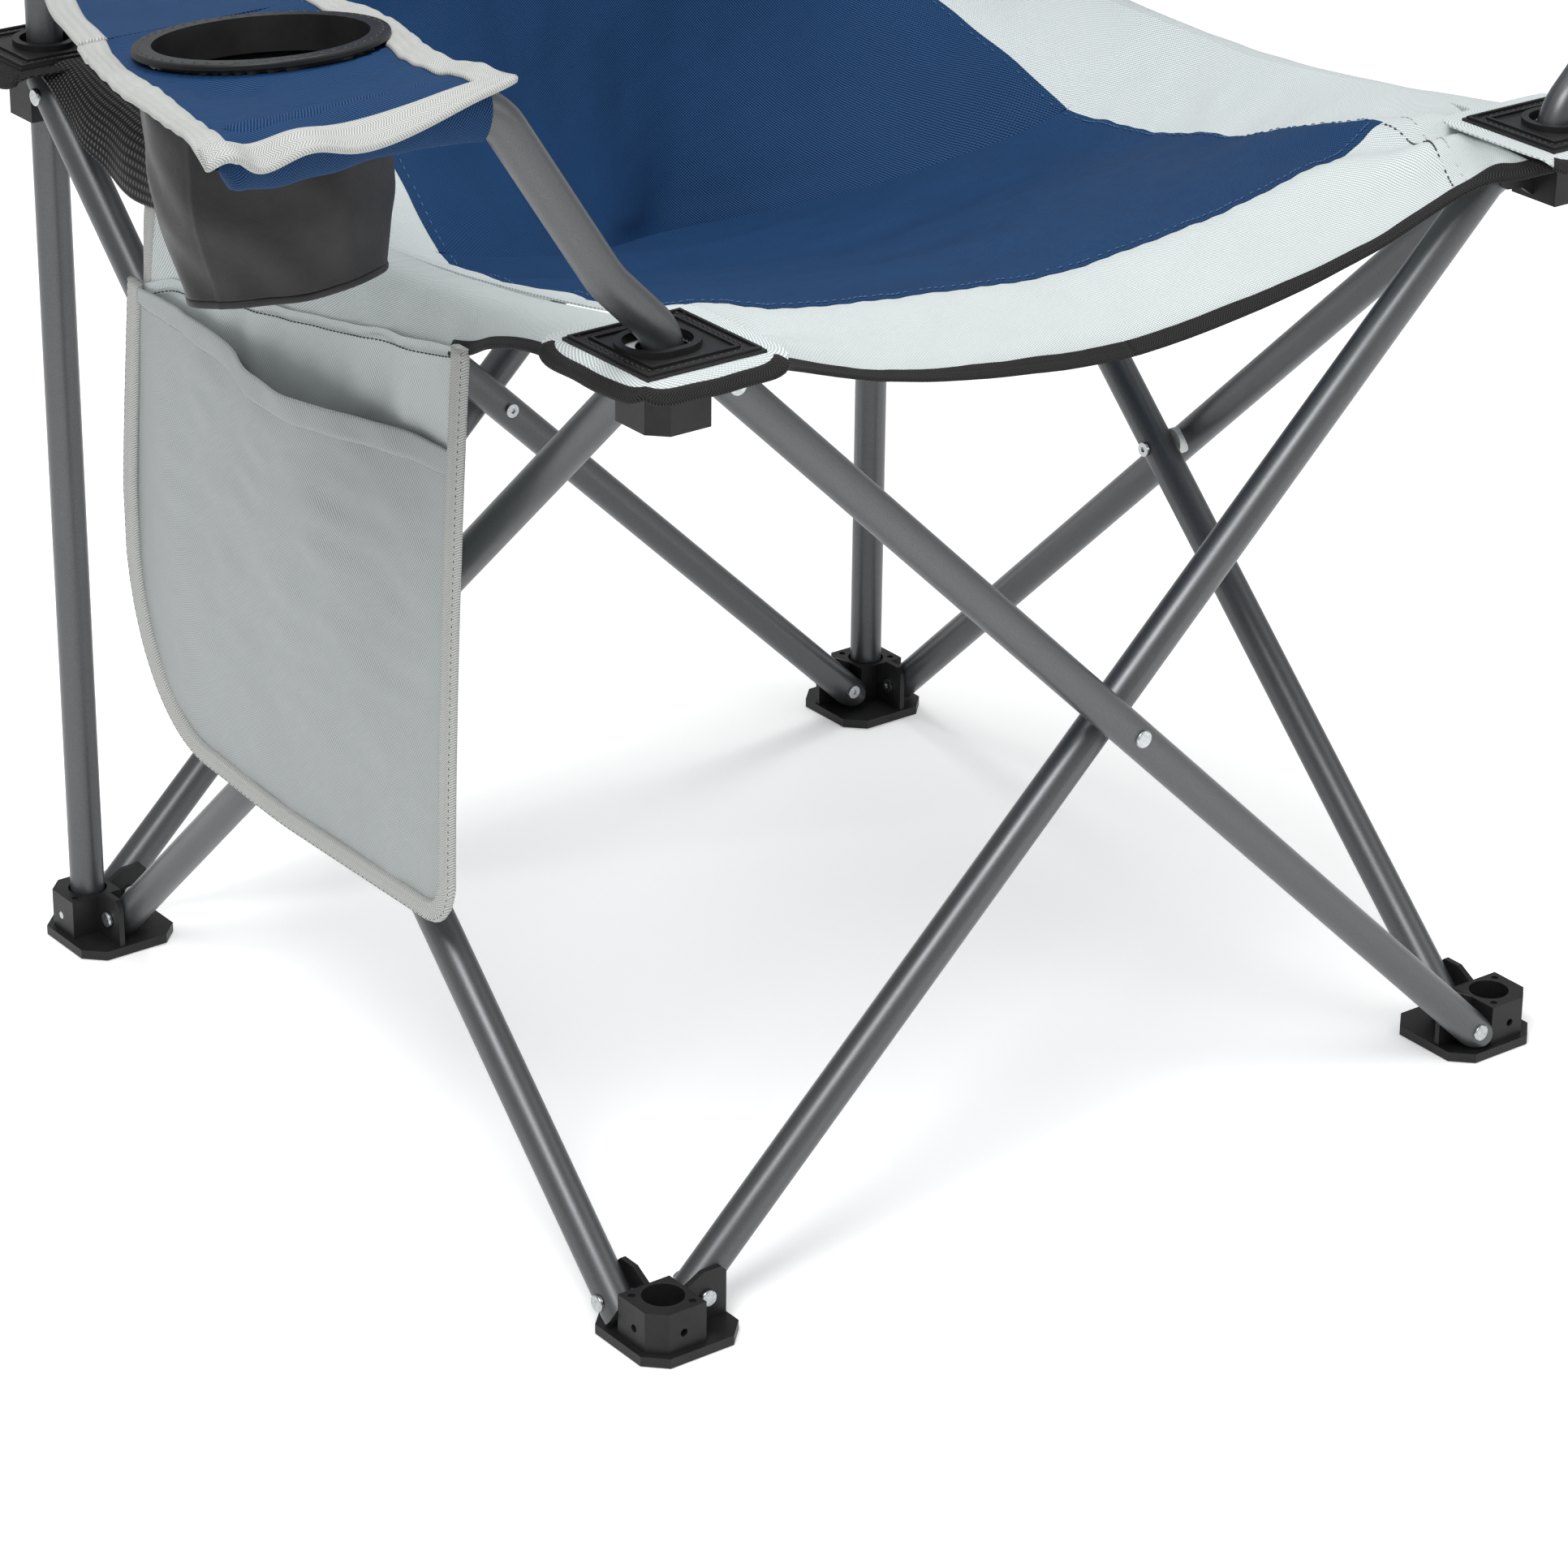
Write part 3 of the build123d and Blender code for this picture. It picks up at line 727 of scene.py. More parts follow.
def seat_half(side):
    name = SIDE_NAMES[side]
    body = name + "_seat"
    blue = raised(seat_surface(half_columns(side, 0, SEAM, 0.05), steps(2, SEAT_LAST_ROW, 0.05)), 0.5 * MM)
    blue_piece = keep_on(cloth_sheet("seat_blue_" + name, blue, BLUE), body, TO_REAR,
                         ["seat_panel_" + name])
    front = seat_surface(half_columns(side, 0, SEAM + 0.02, 0.05), steps(0, 2.1, 0.05))
    front_piece = keep_on(cloth_sheet("seat_front_" + name, front, PALE), body, TO_REAR)
    side_columns = half_columns(side, SEAM - 0.04, EDGE, 0.05)
    side_points = raised(seat_surface(side_columns, steps(0, SEAT_LAST_ROW, 0.05)), 0.25 * MM)
    side_piece = keep_on(cloth_sheet("seat_side_" + name, side_points, PALE), body, TO_REAR)

    details = []
    line, normals = seam_of(seat_surface, side * (SEAM - 0.06), steps(2.1, 5.9, 0.05), 0.7 * MM)
    details.append(stitches("seat_side_thread_" + name, line, normals, BLUE_THREAD))
    line, normals = seam_of(seat_surface, half_columns(side, 0.01, SEAM - 0.1, 0.05), 2.06, 0.7 * MM)
    details.append(stitches("seat_front_thread_" + name, line, normals, BLUE_THREAD))
    line, normals = seam_of(seat_surface, side * (SEAM - 0.045), steps(0.04, 1.95, 0.05), 0.1 * MM)
    details.append(stitches("seat_corner_thread_" + name, line, normals, BLACK_THREAD, *CLOSE_STITCH))
    line, normals = seam_of(seat_surface, side * (SEAM + 0.12), steps(0.04, 1.9, 0.05), 0.4 * MM)
    details.append(stitches("seat_corner_topstitch_" + name, line, normals, PALE_THREAD))
    hem_columns = half_columns(side, 0.0, EDGE, 0.05)
    strip = seat_surface(hem_columns, steps(0, 0.34, 0.068)).transpose(1, 0, 2)
    details.append(hugging_tape("seat_hem_" + name, strip, BLACK_TAPE))
    for piece in details:
        keep_on(piece, body, TO_REAR)
    declare_sheet(blue)
    declare_sheet(front)
    declare_sheet(side_points)


# ---- Side flaps, corner tabs ----
def flap_net(side):
    """The flap's net from left to right as seen from the front."""
    net = np.array(FLAP_NET, float) * MM
    return net if side == RIGHT else net[:, ::-1] * [-1, 1, 1]


def flap_surface(side):
    net = flap_net(side)

    def surface(columns, rows):
        """Columns are counted from the crest to the hem."""
        places = np.asarray(columns, float)
        if side == LEFT:
            places = 2 - places
        points = net_surface(net, places, rows)
        y, z = points[..., 1], points[..., 2]
        column = np.asarray(columns, float)[None, :] + 0 * y
        row = np.asarray(rows, float)[:, None] + 0 * y
        free = fade(column, 0.2, 1.4)
        points[..., 0] += side * 0.7 * MM * wrinkles(y, z, 80, 25, 0.04, 31) * free * fade(row, 2.5, 3.5)
        points[..., 2] += 0.7 * MM * wrinkles(y, points[..., 0], 10, 30, 0.05, 32) * free
        return points

    return surface


def side_flap(side):
    name = SIDE_NAMES[side]
    body = name + "_slider"
    surface = flap_surface(side)
    columns = steps(0, 2, 0.08)
    if side == LEFT:
        columns = columns[::-1]
    last_row = LEFT_LAST_ROW if side == LEFT else FLAP_ROWS
    points = surface(columns, steps(0, last_row, 0.07))
    flap = keep_on(cloth_sheet("seat_flap_" + name, points, PALE), body, TO_REAR)
    last_bound = POCKET_FRONT_ROW if side == LEFT else FLAP_ROWS
    strip = surface([2.0, 1.9, 1.8, 1.7], steps(0, last_bound, 0.07))
    hem = hugging_tape("flap_hem_" + name, strip, BLACK_TAPE)
    keep_on(hem, body, TO_REAR)
    trims = [hem]
    if side == LEFT:
        strip = surface(columns, LEFT_LAST_ROW - np.linspace(0, 0.2, 5)[::-1])[::-1].transpose(1, 0, 2)
        trims.append(hugging_tape("flap_rear_tape", strip, PALE_TAPE))
        keep_on(trims[1], body, TO_REAR)
    declare_sheet(points)


TAB_REACH, TAB_HOLE = 41.0, 12.5                # post's axis to a side of the tab and to its hole, in mm
TAB_FLAT = 30.5                                 # the tab is flat this far out, under the patch, in mm
TAB_SQUARENESS = 7
PATCH_STITCH = (3.6 * MM, 0.4 * MM, 0.62)       # as CLOSE_STITCH


def tab_ring(side, end):
    """Grid round a corner's post: rows go round, columns from the hole to the edge."""
    round_about = np.linspace(-math.pi, math.pi, 129)
    flatness = np.abs(np.cos(round_about)) ** TAB_SQUARENESS + np.abs(np.sin(round_about)) ** TAB_SQUARENESS
    edge = TAB_REACH * flatness ** (-1 / TAB_SQUARENESS)
    share = np.linspace(0, 1, 13)[None, :]
    radius = TAB_HOLE + (edge[:, None] - TAB_HOLE) * share
    x, y = radius * np.cos(round_about)[:, None], radius * np.sin(round_about)[:, None]
    outward = np.maximum(np.maximum(side * x, end * y) - TAB_FLAT, 0)
    z = TAB_TOP / MM - 0.15 - 0.075 * outward**1.9 + 0.25 * np.sin(9 * round_about)[:, None] * outward / 10
    points = np.stack([x + side * HALF / MM, y + end * HALF / MM, z], axis=2) * MM
    return points[:, ::-1]


def corner_tab(side, end):
    """Cloth corner of the seat under a patch, with its bound edge and the patch's stitches."""
    name = ("front_" if end == FRONT else "rear_") + SIDE_NAMES[side]
    body = SIDE_NAMES[side] + ("_arm" if end == FRONT else "_slider")
    points = tab_ring(side, end)
    cloth, slot = (PALE, "grey_polyester") if end == FRONT else (BLACK_TAPE, "black_nylon")
    tab = keep_on(cloth_sheet("corner_tab_" + name, points, cloth, ring=True), body,
                  None, ["seat_corner_" + name])
    away = (points[:-1, 0] / MM - [side * HALF / MM, end * HALF / MM, 0])[:, :2] * [-side, -end]
    outer = np.nonzero((away.min(axis=1) < -33) & (away.max(axis=1) < 38))[0]
    gap = np.nonzero(np.diff(outer) > 1)[0]
    if len(gap):
        outer = np.concatenate([outer[gap[0] + 1:], outer[:gap[0] + 1]])
    bound = hugging_tape("tab_hem_" + name, points[outer, :3], BLACK_TAPE)
    keep_on(bound, body)
    declare_sheet(points[:, ::-1])
    patch_low, patch_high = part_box("patch_" + name)
    for label, inset in (("outer", 2.6 * MM), ("inner", 5.4 * MM)):
        square = rounded_square(patch_low, patch_high, inset)
        up = np.tile([0.0, 0.0, 1.0], (len(square), 1))
        row = stitches("patch_thread_" + label + "_" + name, square, up, BLACK_THREAD, *PATCH_STITCH)
        keep_on(row, body)


def rounded_square(low, high, inset, radius=6 * MM):
    """Closed line just above a patch, inside its edge."""
    z = low.z + 2.0 * MM
    x0, x1, y0, y1 = low.x + inset, high.x - inset, low.y + inset, high.y - inset
    line = []
    for cx, cy, start in ((x1, y1, 0), (x0, y1, 90), (x0, y0, 180), (x1, y0, 270)):
        centre_x = cx - radius * math.copysign(1, cx - (x0 + x1) / 2)
        centre_y = cy - radius * math.copysign(1, cy - (y0 + y1) / 2)
        for turn in range(0, 91, 15):
            angle = math.radians(start + turn)
            line.append((centre_x + radius * math.cos(angle), centre_y + radius * math.sin(angle), z))
    line.append(line[0])
    return np.array(line)


# ---- Back ----
def back():
    blue = raised(back_surface(steps(-SEAM, SEAM, 0.06), steps(0, 6.55, 0.05)), 0.5 * MM)
    blue_piece = keep_on(cloth_sheet("back_blue", blue, BLUE), "left_post", TO_LEFT,
                         ["back_middle"])
    top = raised(back_surface(steps(-SEAM - 0.02, SEAM + 0.02, 0.06), steps(6.5, 7, 0.05)), 0.2 * MM)
    top_piece = keep_on(cloth_sheet("back_top", top, PALE), "left_post", TO_LEFT)
    for side, name in SIDE_NAMES.items():
        columns = half_columns(side, SEAM - 0.04, EDGE, 0.05)
        points = back_surface(columns, steps(0, 7, 0.05))
        piece = cloth_sheet("back_side_panel_" + name, points, PALE)
        keep_on(piece, "left_post", TO_LEFT, ["back_side_" + name])
        line, normals = seam_of(back_surface, side * (SEAM - 0.06), steps(0.1, 6.5, 0.05), 0.7 * MM)
        row = stitches("back_thread_" + name, line, normals, BLUE_THREAD)
        keep_on(row, "left_post", TO_LEFT)
        strip = back_surface(side * (EDGE - np.linspace(0, 0.16, 5)), steps(3.9, 7, 0.05))
        hem = hugging_tape("back_side_hem_" + name, strip, PALE_TAPE)
        keep_on(hem, "left_post", TO_LEFT)
        declare_sheet(points)
    strip = back_surface(steps(-EDGE, EDGE, 0.08), [7, 6.97, 6.94, 6.91, 6.88]).transpose(1, 0, 2)
    hem = hugging_tape("back_top_hem", strip, PALE_TAPE, 2.6 * MM)
    keep_on(hem, "left_post", TO_LEFT)
    declare_sheet(blue)
    declare_sheet(top)


def back_sleeve(side):
    """Cloth tube sewn to the back that slides down over an upright, closed at the top."""
    name = SIDE_NAMES[side]
    low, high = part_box("back_sleeve_" + name)
    centre_x, centre_y = (low.x + high.x) / 2, (low.y + high.y) / 2
    turns, rows = 48, 90
    angles = np.linspace(0, 2 * math.pi, turns + 1)[None, :]
    share = np.linspace(0, 1, rows)[:, None]
    z = low.z + 3 * MM + (high.z - low.z - 3.5 * MM) * share
    dome = np.sqrt(np.clip(1 - np.clip((z - (high.z - 7 * MM)) / (7 * MM), 0, 0.995) ** 2, 0, 1))
    turned = centre_x * 40
    crease = np.sin(3 * angles + turned + 40 * z) * np.sin(55 * z + 2 * angles) * 0.45
    ring_folds = 0.35 * np.sin(160 * z + 3 * np.sin(angles + turned) + 3 * np.sin(23 * z))
    radius = (11.4 * MM + (crease + ring_folds) * MM) * dome + 0 * angles
    toward = np.clip(np.cos(angles - (math.pi if side == RIGHT else 0)), 0, 1) ** 12
    radius = radius + 1.3 * MM * toward * dome
    x, y = centre_x + radius * np.cos(angles), centre_y + radius * np.sin(angles)
    points = np.stack([x, y, z + 0 * angles], axis=2)
    sleeve = cloth_sheet("sleeve_" + name, points[:, ::-1].transpose(1, 0, 2), PALE, THIN_CLOTH, ring=True)
    keep_on(sleeve, name + "_post", None, ["back_sleeve_" + name])
    declare_sheet(points)
    band = points[3, ::-1]
    normals = unit(np.stack([band[:, 0] - centre_x, band[:, 1] - centre_y, 0 * band[:, 2]], axis=1))
    line = band + normals * 0.3 * MM + [0, 0, 6 * MM]
    keep_on(stitches("sleeve_thread_" + name, line, normals, PALE_THREAD), name + "_post")


# ---- Side pocket ----
POCKET_FLOOR, POCKET_TOP = 0.176, 0.455
POCKET_FRONT, POCKET_REAR = (-0.126, -0.145), (0.149, 0.124)     # y at the floor and at the top
MOUTH_Z = 0.406
REAR_CORNER, FRONT_CORNER = (0.069, 0.116), (0.014, 0.014)       # length and height of the rounded corners


def pocket_floor(y):
    """Height of the pocket's lower edge, with a large round corner at the rear and a small one in front."""
    rear = np.clip((y - POCKET_REAR[0] + REAR_CORNER[0]) / REAR_CORNER[0], 0, 1)
    front = np.clip((POCKET_FRONT[0] + FRONT_CORNER[0] - y) / FRONT_CORNER[0], 0, 1)
    rear_rise = REAR_CORNER[1] * (1 - np.sqrt(1 - rear**2))
    front_rise = FRONT_CORNER[1] * (1 - np.sqrt(1 - front**2))
    return POCKET_FLOOR + 6 * MM * fade(y, 0.0, 0.1) + rear_rise + front_rise


def side_pocket():
    s = np.linspace(0, 1, 91)
    y = POCKET_FRONT[0] + (POCKET_REAR[0] - POCKET_FRONT[0]) * s
    top_y = POCKET_FRONT[1] + (POCKET_REAR[1] - POCKET_FRONT[1]) * s
    floor_z = pocket_floor(y)
    surface = flap_surface(LEFT)
    rows = np.interp(top_y, [p[1] * MM for p in np.array(FLAP_NET)[:, 2]], np.arange(FLAP_ROWS + 1))
    hem = surface([2.0], rows)[:, 0]
    t = np.linspace(0, 1, 80)[None, :]
    edge_hold = fade(s, 0, 0.12)[:, None] * fade(1 - s, 0, 0.12)[:, None]

    def layer(top_x, top_z, belly, seed, depth):
        z = floor_z[:, None] + (top_z[:, None] - floor_z[:, None]) * t
        rise = np.clip((z - POCKET_FLOOR) / (POCKET_TOP - POCKET_FLOOR), 0, 1)
        yy = y[:, None] + (top_y - y)[:, None] * rise**1.5
        x = POCKET_HIGH.x - 1.6 * MM + (top_x[:, None] - (POCKET_HIGH.x - 1.6 * MM)) * fade(t, 0.0, 1.0)
        x = x - belly * edge_hold * np.sin(math.pi * np.clip(t, 0, 1) ** 0.8) ** 0.7
        folds = wrinkles(yy, z, 80, 22, 0.05, seed) + 0.5 * wrinkles(yy, z, 30, 40, 0.03, seed + 1)
        x = x - depth * folds * edge_hold * fade(t, 0.0, 0.15)
        return np.stack([x, yy, z], axis=2)

    back_layer = layer(hem[:, 0] - 0.4 * MM, hem[:, 2] + 3 * MM, 0.0, 41, 0.4 * MM)
    mouth_z = MOUTH_Z + MM * (1.2 * np.sin(9 * s + 1.0) - 3.0 * np.sin(math.pi * s) ** 2)
    gape = 16 * MM * np.exp(-(((s - 0.44) / 0.24) ** 2)) * np.sin(math.pi * s) ** 0.5
    front_layer = layer(POCKET_HIGH.x - 3.2 * MM - gape, mouth_z, 3.0 * MM, 43, 0.9 * MM)
    front_layer[..., 0] = np.minimum(front_layer[..., 0], back_layer[..., 0].min(axis=1)[:, None] - 1.3 * MM)
    front_layer[..., 0] = np.maximum(front_layer[..., 0], POCKET_LOW.x - 8 * MM)
    for label, points, cloth in (("inner", back_layer, PALE), ("outer", front_layer, GREY)):
        grid = points[::-1]
        made = cloth_sheet("pocket_" + label, grid.transpose(1, 0, 2), cloth, THIN_CLOTH)
        keep_on(made, "left_slider", TO_REAR)
    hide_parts("side_pocket")

    rim = np.concatenate([back_layer[0, ::-1], back_layer[:, 0], back_layer[-1]]) - [1.4 * MM, 0, 0]
    rim = resample(rim, 240)
    outward = np.tile([-1.0, 0.0, 0.0], (len(rim), 1))
    tangent = unit(np.gradient(rim, axis=0))
    inward = unit(np.cross(outward, tangent))
    strip = rim[:, None] + inward[:, None] * np.linspace(0, 9.5 * MM, 5)[None, :, None]
    edge_tape = hugging_tape("pocket_edge_tape", strip, PALE_TAPE, 4.4 * MM)
    inner = rim + inward * 7.5 * MM - [2.0 * MM, 0, 0]
    edge_thread = stitches("pocket_edge_thread", inner, outward, BLACK_THREAD, 3.6 * MM, 0.38 * MM)
    outward = outward[:len(hem)]
    strip = front_layer[:, :-6:-1]
    mouth_tape = hugging_tape("pocket_mouth_tape", strip, GREY, 1.9 * MM)
    seam = hem + [-1.3 * MM, 0, -1.5 * MM]
    seam_thread = stitches("pocket_top_thread", seam, outward, BLACK_THREAD, *CLOSE_STITCH)
    for made, slot in ((edge_tape, "grey_polyester"), (edge_thread, "black_nylon"),
                       (mouth_tape, "grey_polyester"), (seam_thread, "black_nylon")):
        keep_on(made, "left_slider", TO_REAR)
    declare_sheet(back_layer)
    declare_sheet(front_layer)


def rear_strap():
    """Wide black webbing sewn on the left flap, from the rear corner forwards."""
    columns = [1.38, 1.2, 1.0, 0.85, 0.7, 0.5, 0.3, 0.12]
    strip = raised(flap_surface(LEFT)(columns, steps(4.6, FLAP_ROWS, 0.07)), 2.2 * MM)
    webbing = hugging_tape("rear_webbing_left", strip, WEBBING)
    keep_on(webbing, "left_slider", TO_REAR)


# ---- Armrests ----
ARM_SLOPE = 0.12
ARM_TOP = BAR_Z + TUBE_R + 3.5 * MM             # cloth over the middle of the bar
ARM_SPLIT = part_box("armrest_front_left")[1].y


def arm_z(y):
    return ARM_TOP - ARM_SLOPE * (y + HALF)


RING_CENTRE = (RING_LOW + RING_HIGH) / 2
RING_R = (RING_HIGH.x - RING_LOW.x) / 2
# Left armrest, rows from the hanging front hem to the split: outer edge and inner edge in millimetres.
ARM_EDGES = [((-493, -283, 617), (-350, -283, 627)), ((-491, -272, 621.5), (-350, -270, 625.5)),
             ((-487, -258, 622), (-349, -252, 625)), ((-477, -220, 619), (-347, -217, 620.5)),
             ((-455, -137, 609.5), (-318, -140, 611)), ((-430, -75, 602.5), (-306, -75, 603))]


def arm_surface(side):
    rows_of = np.array(ARM_EDGES, float) * MM

    def surface(columns, rows):
        """Columns run from 0 at the outer edge to 1 at the inner edge, rows from 0 at the front hem to 5."""
        columns, rows = np.asarray(columns, float), np.asarray(rows, float)
        edges = spline(rows_of, rows)
        share = columns[None, :, None]
        points = edges[:, :1] * (1 - share) + edges[:, 1:] * share
        x, y = points[..., 0], points[..., 1]
        row = rows[:, None] + 0 * x
        column = columns[None, :] + 0 * x
        hanging = 1 - fade(row, 0.0, 1.6)
        ripple = np.sin(19 * column + 2.2 * np.sin(5 * column)) * (1 - column) ** 0.7
        points[..., 1] -= hanging * MM * (9 * np.sin(math.pi * column) + 2.6 * ripple)
        points[..., 2] -= hanging * MM * (5 * np.sin(math.pi * column) - 4.2 * ripple)
        from_ring = np.hypot(x - RING_CENTRE.x, y - RING_CENTRE.y)
        calm = fade(from_ring, RING_R - 2 * MM, RING_R + 16 * MM)
        free = fade(row, 1.5, 2.3) * (1 - fade(row, 4.6, 5.0))
        sag = 3.2 * MM * np.sin(math.pi * column) * free
        folds = 1.0 * MM * wrinkles(x, y, 70, 30, 0.05, 51) + 0.5 * MM * wrinkles(x, y, 20, 50, 0.022, 52)
        points[..., 2] += (folds * fade(row, 1.2, 2.2) - sag) * calm
        points[..., 2] = np.where(from_ring < RING_R, arm_z(y) - 0.6 * MM, points[..., 2])
        if side == RIGHT:
            points = points[:, ::-1] * [-1, 1, 1]
        return points

    return surface


ARM_TAPE = 13.5 * MM                            # width of the binding on an armrest's long edges


def edge_binding(name, side, surface, edge, rows):
    """Pale tape folded over one long edge of an armrest. edge is column 0 or 1."""
    ends = surface([0.0, 1.0], rows)
    widths = np.linalg.norm(ends[:, 0] - ends[:, 1], axis=1)
    strip = []
    for row, width in zip(rows, widths):
        shares = np.linspace(0, ARM_TAPE / width, 6)
        strip.append(surface(shares if edge == 0 else 1 - shares, [row])[0])
    strip = np.array(strip)
    if side == RIGHT:
        strip = strip[:, ::-1]
    return hugging_tape(name, strip, PALE_TAPE, 3.2 * MM)


def armrest(side):
    name = SIDE_NAMES[side]
    body = name + "_arm"
    surface = arm_surface(side)
    rows, columns = steps(0, 5, 0.045), steps(0, 1, 0.0125)
    points = surface(columns, rows)
    keep = None
    if side == LEFT:
        centres = (points[1:, 1:] + points[:-1, :-1]) / 2
        hole = RING_R - 4.5 * MM
        keep = np.hypot(centres[..., 0] - RING_CENTRE.x, centres[..., 1] - RING_CENTRE.y) > hole
    top = cloth_sheet("armrest_top_" + name, points, BLUE, keep=keep)
    keep_on(top, body, None, ["armrest_front_" + name])
    outer = edge_binding("armrest_outer_tape_" + name, side, surface, 0, rows)
    inner = edge_binding("armrest_inner_tape_" + name, side, surface, 1, rows)
    strip = surface(columns, steps(0, 0.95, 0.19)).transpose(1, 0, 2)
    front = hugging_tape("armrest_front_tape_" + name, strip, PALE_TAPE, 3.4 * MM)
    trims = [outer, inner, front]
    for made in trims:
        keep_on(made, body)
    sleeve = bar_sleeve(side, name)
    declare_sheet(points)


def bar_sleeve(side, name):
    """Blue tunnel of the armrest round the bar."""
    turns = np.linspace(0, 2 * math.pi, 41)[:, None]
    inner_x, outer_x = 0.3535, BAR_END + 11 * MM
    x = np.linspace(inner_x, outer_x, 60)[None, :]
    ripple = 0.5 * MM * wrinkles(x + 0 * turns, 0.012 * turns + 0 * x, 80, 30, 0.03, 61)
    pinch = fade(x, BAR_END + 3.5 * MM, BAR_END + 11 * MM)
    radius = (TUBE_R + 1.4 * MM + ripple * np.sin(turns / 2)) * (1 - 0.88 * pinch)
    under = np.clip(-np.sin(turns), 0, 1) ** 2
    hang = (4.5 * MM + 1.5 * MM * np.sin(60 * x)) * under * (1 - pinch) + 4 * MM * pinch
    y = -HALF + radius * np.cos(turns)
    z = BAR_Z + radius * np.sin(turns) - hang
    points = np.stack([side * x + 0 * turns, y, z], axis=2)
    if side == LEFT:
        points = points[::-1]
    made = cloth_sheet("armrest_sleeve_" + name, points, BLUE, THIN_CLOTH, ring=True)
    keep_on(made, name + "_arm")
    declare_sheet(points)
    return made


# Left strap from the split back to the upright, in millimetres: y, outer x, inner x.
STRAP_EDGES = [(-74, -429, -306), (6, -396, -291), (90, -357, -276), (170, -324, -263), (236, -297, -257)]


def armrest_strap(side):
    """Loose rear part of an armrest; it hangs from the stiff front when the chair is folded."""
    name = SIDE_NAMES[side]
    edges = np.array(STRAP_EDGES, float) * MM
    last = len(STRAP_EDGES) - 1

    def surface(columns, rows):
        columns, rows = np.asarray(columns, float), np.asarray(rows, float)
        line = spline(edges, rows)
        share = columns[None, :]
        x = line[:, 1:2] * (1 - share) + line[:, 2:3] * share
        y = line[:, :1] + 0 * share
        sag = 7 * MM * np.sin(math.pi * rows / last)[:, None] * (0.6 + 0.4 * np.sin(math.pi * share))
        z = arm_z(y) - sag + 1.0 * MM * wrinkles(x, y, 75, 25, 0.035, 71) * fade(rows, 0.1, 0.8)[:, None]
        points = np.stack([x, y, z], axis=2)
        return points if side == LEFT else points[:, ::-1] * [-1, 1, 1]

    rows = steps(0, last, 0.04)
    points = surface(steps(0, 1, 0.025), rows)
    body = name + "_strap"
    crumple = ((0, 1, 0), (0, ARM_SPLIT, 0), 0.74)
    top = keep_on(cloth_sheet("armrest_strap_cloth_" + name, points, BLUE), body, crumple,
                  ["armrest_strap_" + name])
    outer = edge_binding("strap_outer_tape_" + name, side, surface, 0, rows)
    inner = edge_binding("strap_inner_tape_" + name, side, surface, 1, rows)
    for made in (outer, inner):
        keep_on(made, body, crumple)
    declare_sheet(points)

    low_z = arm_z(HALF)
    turns = np.linspace(0, 2 * math.pi, 41)[:, None]
    height = np.linspace(-1, 1, 24)[None, :]
    radius = TUBE_R + 1.6 * MM + 0.35 * MM * np.sin(5 * turns + 3 * height)
    squeeze = 1 + 0.35 * np.clip(-np.sin(turns), 0, 1) ** 3
    x = side * HALF + radius * np.cos(turns)
    y = HALF + radius * np.sin(turns) * squeeze
    z = low_z + 15 * MM * height + 1.5 * MM * np.sin(turns)
    loop_points = np.stack([x + 0 * height, y + 0 * height, z], axis=2)
    loop = cloth_sheet("armrest_loop_" + name, loop_points[::-1, ::-1], BLUE, ring=True)
    keep_on(loop, name + "_post")
    declare_sheet(loop_points)


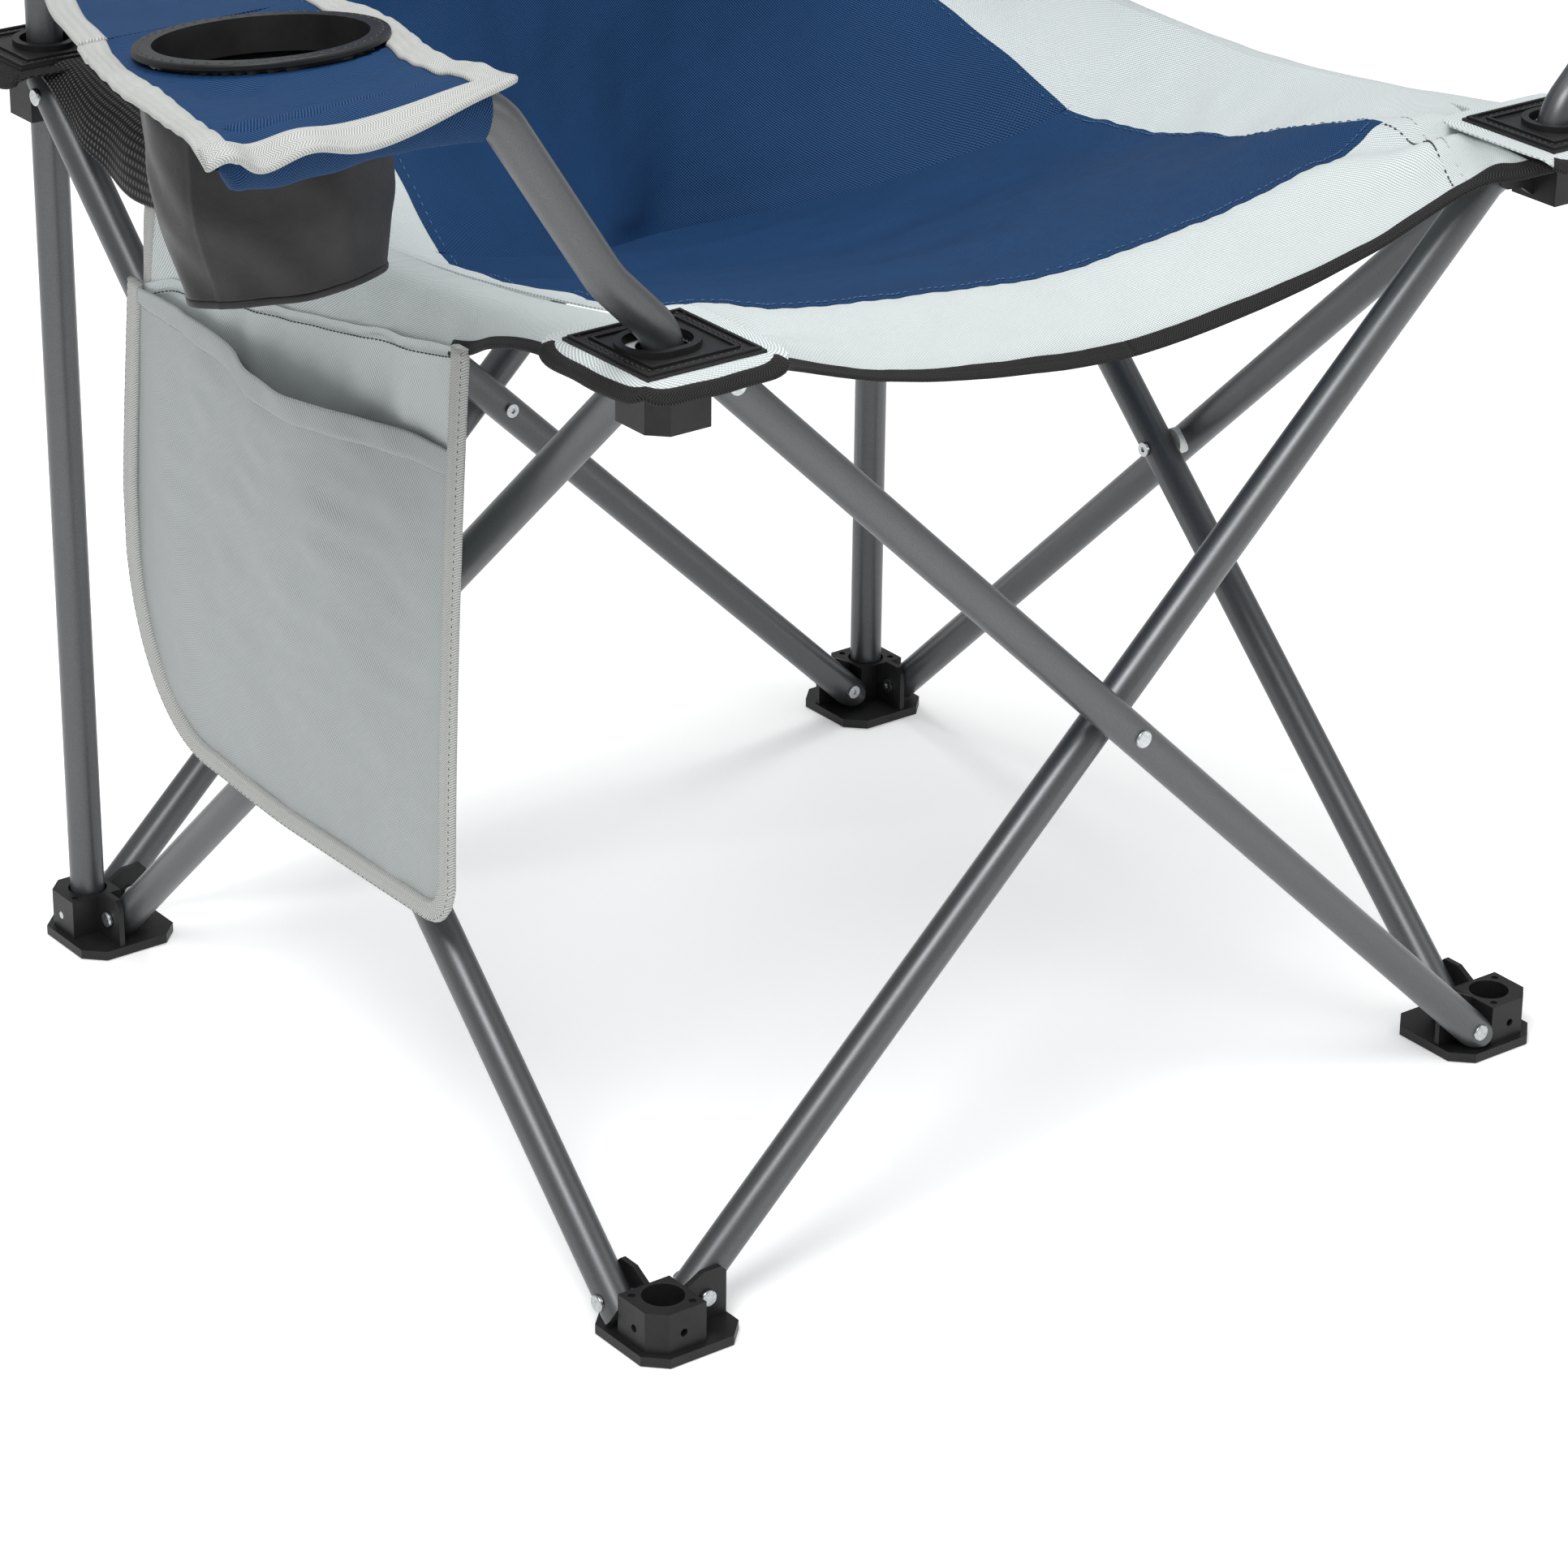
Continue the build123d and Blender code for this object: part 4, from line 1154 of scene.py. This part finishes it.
# ---- Cup holder ----
def cup_holder():
    """Wrinkled nylon pouch below the ring, and the ring's stitching."""
    tilt = Matrix.Rotation(-math.atan(ARM_SLOPE), 4, "X")
    origin = Vector((RING_CENTRE.x, RING_CENTRE.y, arm_z(RING_CENTRE.y)))

    def placed(points):
        turned = points.reshape(-1, 3) @ np.array(tilt.to_3x3()).T
        return (turned + np.array(origin)).reshape(points.shape)

    angles = np.linspace(0, 2 * math.pi, 145)[:, None]
    t = np.linspace(0, 1, 76)[None, :]
    depth = 94 * MM
    gather = np.sin(17 * angles + 2 * np.sin(3 * angles)) * np.exp(-t * 5.0)
    long_folds = np.sin(5 * angles + 4 * t + 0.5) * 0.6 + np.sin(9 * angles - 6 * t) * 0.35
    creases = wrinkles(0.048 * angles + 0 * t, 0.11 * t + 0 * angles, 55, 35, 0.03, 81)
    creases = creases * np.sin(angles / 2) ** 0.5
    swell = 50.2 + 1.8 * fade(t, 0, 0.2) - 5.0 * t
    radius = swell + 0.9 * gather + 1.5 * long_folds * fade(t, 0.05, 0.5) + 0.8 * creases
    flat_side = 1.2 * np.cos(2 * angles + 0.5) * t
    seam = 0.9 * np.exp(-(((angles - math.radians(200)) / 0.03) ** 2))
    radius = (radius + flat_side + seam) * MM
    lower = fade(t, 0.62, 1.0)
    radius = radius * (1 - 0.13 * lower)
    z = -4.5 * MM - depth * t * (1 + 0.03 * np.cos(angles - 2.2)) + 0 * angles
    wall = np.stack([radius * np.cos(angles), radius * np.sin(angles), z], axis=2)
    share = np.linspace(1, 0.03, 26)[None, 1:]
    base_radius = wall[:, -1, :2]
    belly = 3.5 * MM * (1 - share**2) + 0.8 * MM * np.sin(7 * angles + 9 * share) * np.sin(math.pi * share)
    tent = 95 * MM * np.exp(-((share / 0.55) ** 2)) * (1 + 0.3 * share * np.sin(3 * angles + 1))
    base_z = wall[:, -1:, 2] - belly + tent
    base = np.stack([base_radius[:, :1] * share, base_radius[:, 1:] * share, base_z], axis=2)
    points = placed(np.concatenate([wall, base], axis=1))
    pouch = cloth_sheet("cup_pouch_cloth", points[::-1], POUCH, 0.7 * MM, ring=True)
    keep_on(pouch, "left_arm", None, ["cup_pouch"])
    outward = unit(wall[:, -1] * [1, 1, 0])
    rim = placed(wall[:, -1] + outward * 0.3 * MM)
    seam_piping = piping("cup_pouch_seam", rim, outward, 3.2 * MM, 1.8 * MM, 1.0 * MM, POUCH)
    keep_on(seam_piping, "left_arm")
    declare_sheet(points)

    flange_top, stitch_r = 4.05 * MM, RING_R - 3.0 * MM
    turn = angles[:, 0]
    top = np.full_like(turn, flange_top)
    circle = placed(np.stack([stitch_r * np.cos(turn), stitch_r * np.sin(turn), top], axis=1))
    up = np.tile(np.array(tilt.to_3x3()) @ np.array([0, 0, 1.0]), (len(circle), 1))
    row = stitches("cup_ring_thread_outer", circle, up, BLACK_THREAD, 6.0 * MM, 0.5 * MM, 0.6)
    keep_on(row, "left_arm")


for one_side in (LEFT, RIGHT):
    seat_half(one_side)
    side_flap(one_side)
    for one_end in (FRONT, REAR):
        corner_tab(one_side, one_end)
    back_sleeve(one_side)
    armrest(one_side)
    armrest_strap(one_side)
back()
side_pocket()
rear_strap()
cup_holder()


# ---- Floor, lights and camera ----
def stage():
    """White floor that glows a little, an even white sky, and the view transform that keeps them white."""
    floor_mesh = bpy.data.meshes.new("floor")
    size = 12.0
    corners = [(-size, -size, 0), (size, -size, 0), (size, size, 0), (-size, size, 0)]
    floor_mesh.from_pydata(corners, [], [(0, 1, 2, 3)])
    floor = bpy.data.objects.new("floor", floor_mesh)
    bpy.context.scene.collection.objects.link(floor)
    ground = Finish("floor")
    ground.put("Base Color", (0.93, 0.93, 0.93))
    ground.put("Roughness", 0.7)
    ground.put("Emission Color", (1.0, 1.0, 1.0))
    ground.put("Emission Strength", 0.3)
    floor_mesh.materials.append(ground.material)
    floor.location.z = -0.0005
    world = bpy.data.worlds.new("studio")
    world.use_nodes = True
    background = world.node_tree.nodes["Background"]
    background.inputs["Color"].default_value = (1.0, 1.0, 1.0, 1)
    background.inputs["Strength"].default_value = 0.5
    bpy.context.scene.world = world
    bpy.context.scene.view_settings.view_transform = "Standard"


def area_light(name, place, aim, size, power):
    data = bpy.data.lights.new(name, "AREA")
    data.shape = "RECTANGLE"
    data.size, data.size_y = size
    data.energy = power
    lamp = bpy.data.objects.new(name, data)
    lamp.location = place
    lamp.rotation_mode = "QUATERNION"
    lamp.rotation_quaternion = (Vector(aim) - Vector(place)).to_track_quat("-Z", "Y")
    bpy.context.scene.collection.objects.link(lamp)


CAMERA_PLACE = (-1.4806, -1.9512, 1.2602)
CAMERA_AZIMUTH, CAMERA_PITCH, CAMERA_ROLL = -37.26, 25.07, 0.69
CAMERA_LENS = 120.6


def camera():
    """Looks at the chair from the photo's side. Pitch is downwards."""
    azimuth, pitch = math.radians(CAMERA_AZIMUTH), math.radians(CAMERA_PITCH)
    level = Vector((-math.sin(azimuth), math.cos(azimuth), 0))
    ahead = level * math.cos(pitch) - Vector((0, 0, math.sin(pitch)))
    across = Vector((math.cos(azimuth), math.sin(azimuth), 0))
    up = across.cross(ahead)
    turned = Matrix((across, up, -ahead)).transposed() @ Matrix.Rotation(math.radians(CAMERA_ROLL), 3, "Z")
    data = bpy.data.cameras.new("camera")
    data.lens = CAMERA_LENS
    data.sensor_width = 36
    data.clip_end = 50
    made = bpy.data.objects.new("camera", data)
    made.matrix_world = Matrix.Translation(CAMERA_PLACE) @ turned.to_4x4()
    bpy.context.scene.collection.objects.link(made)
    bpy.context.scene.camera = made


stage()
MIDDLE_OF_CHAIR = (0, 0, 0.45)
area_light("key", (-1.6, -1.2, 2.6), MIDDLE_OF_CHAIR, (1.1, 1.1), 58)
area_light("fill", (1.8, -2.2, 1.6), MIDDLE_OF_CHAIR, (2.0, 2.0), 20)
area_light("top", (0.2, 0.5, 3.0), MIDDLE_OF_CHAIR, (1.3, 1.3), 40)
camera()
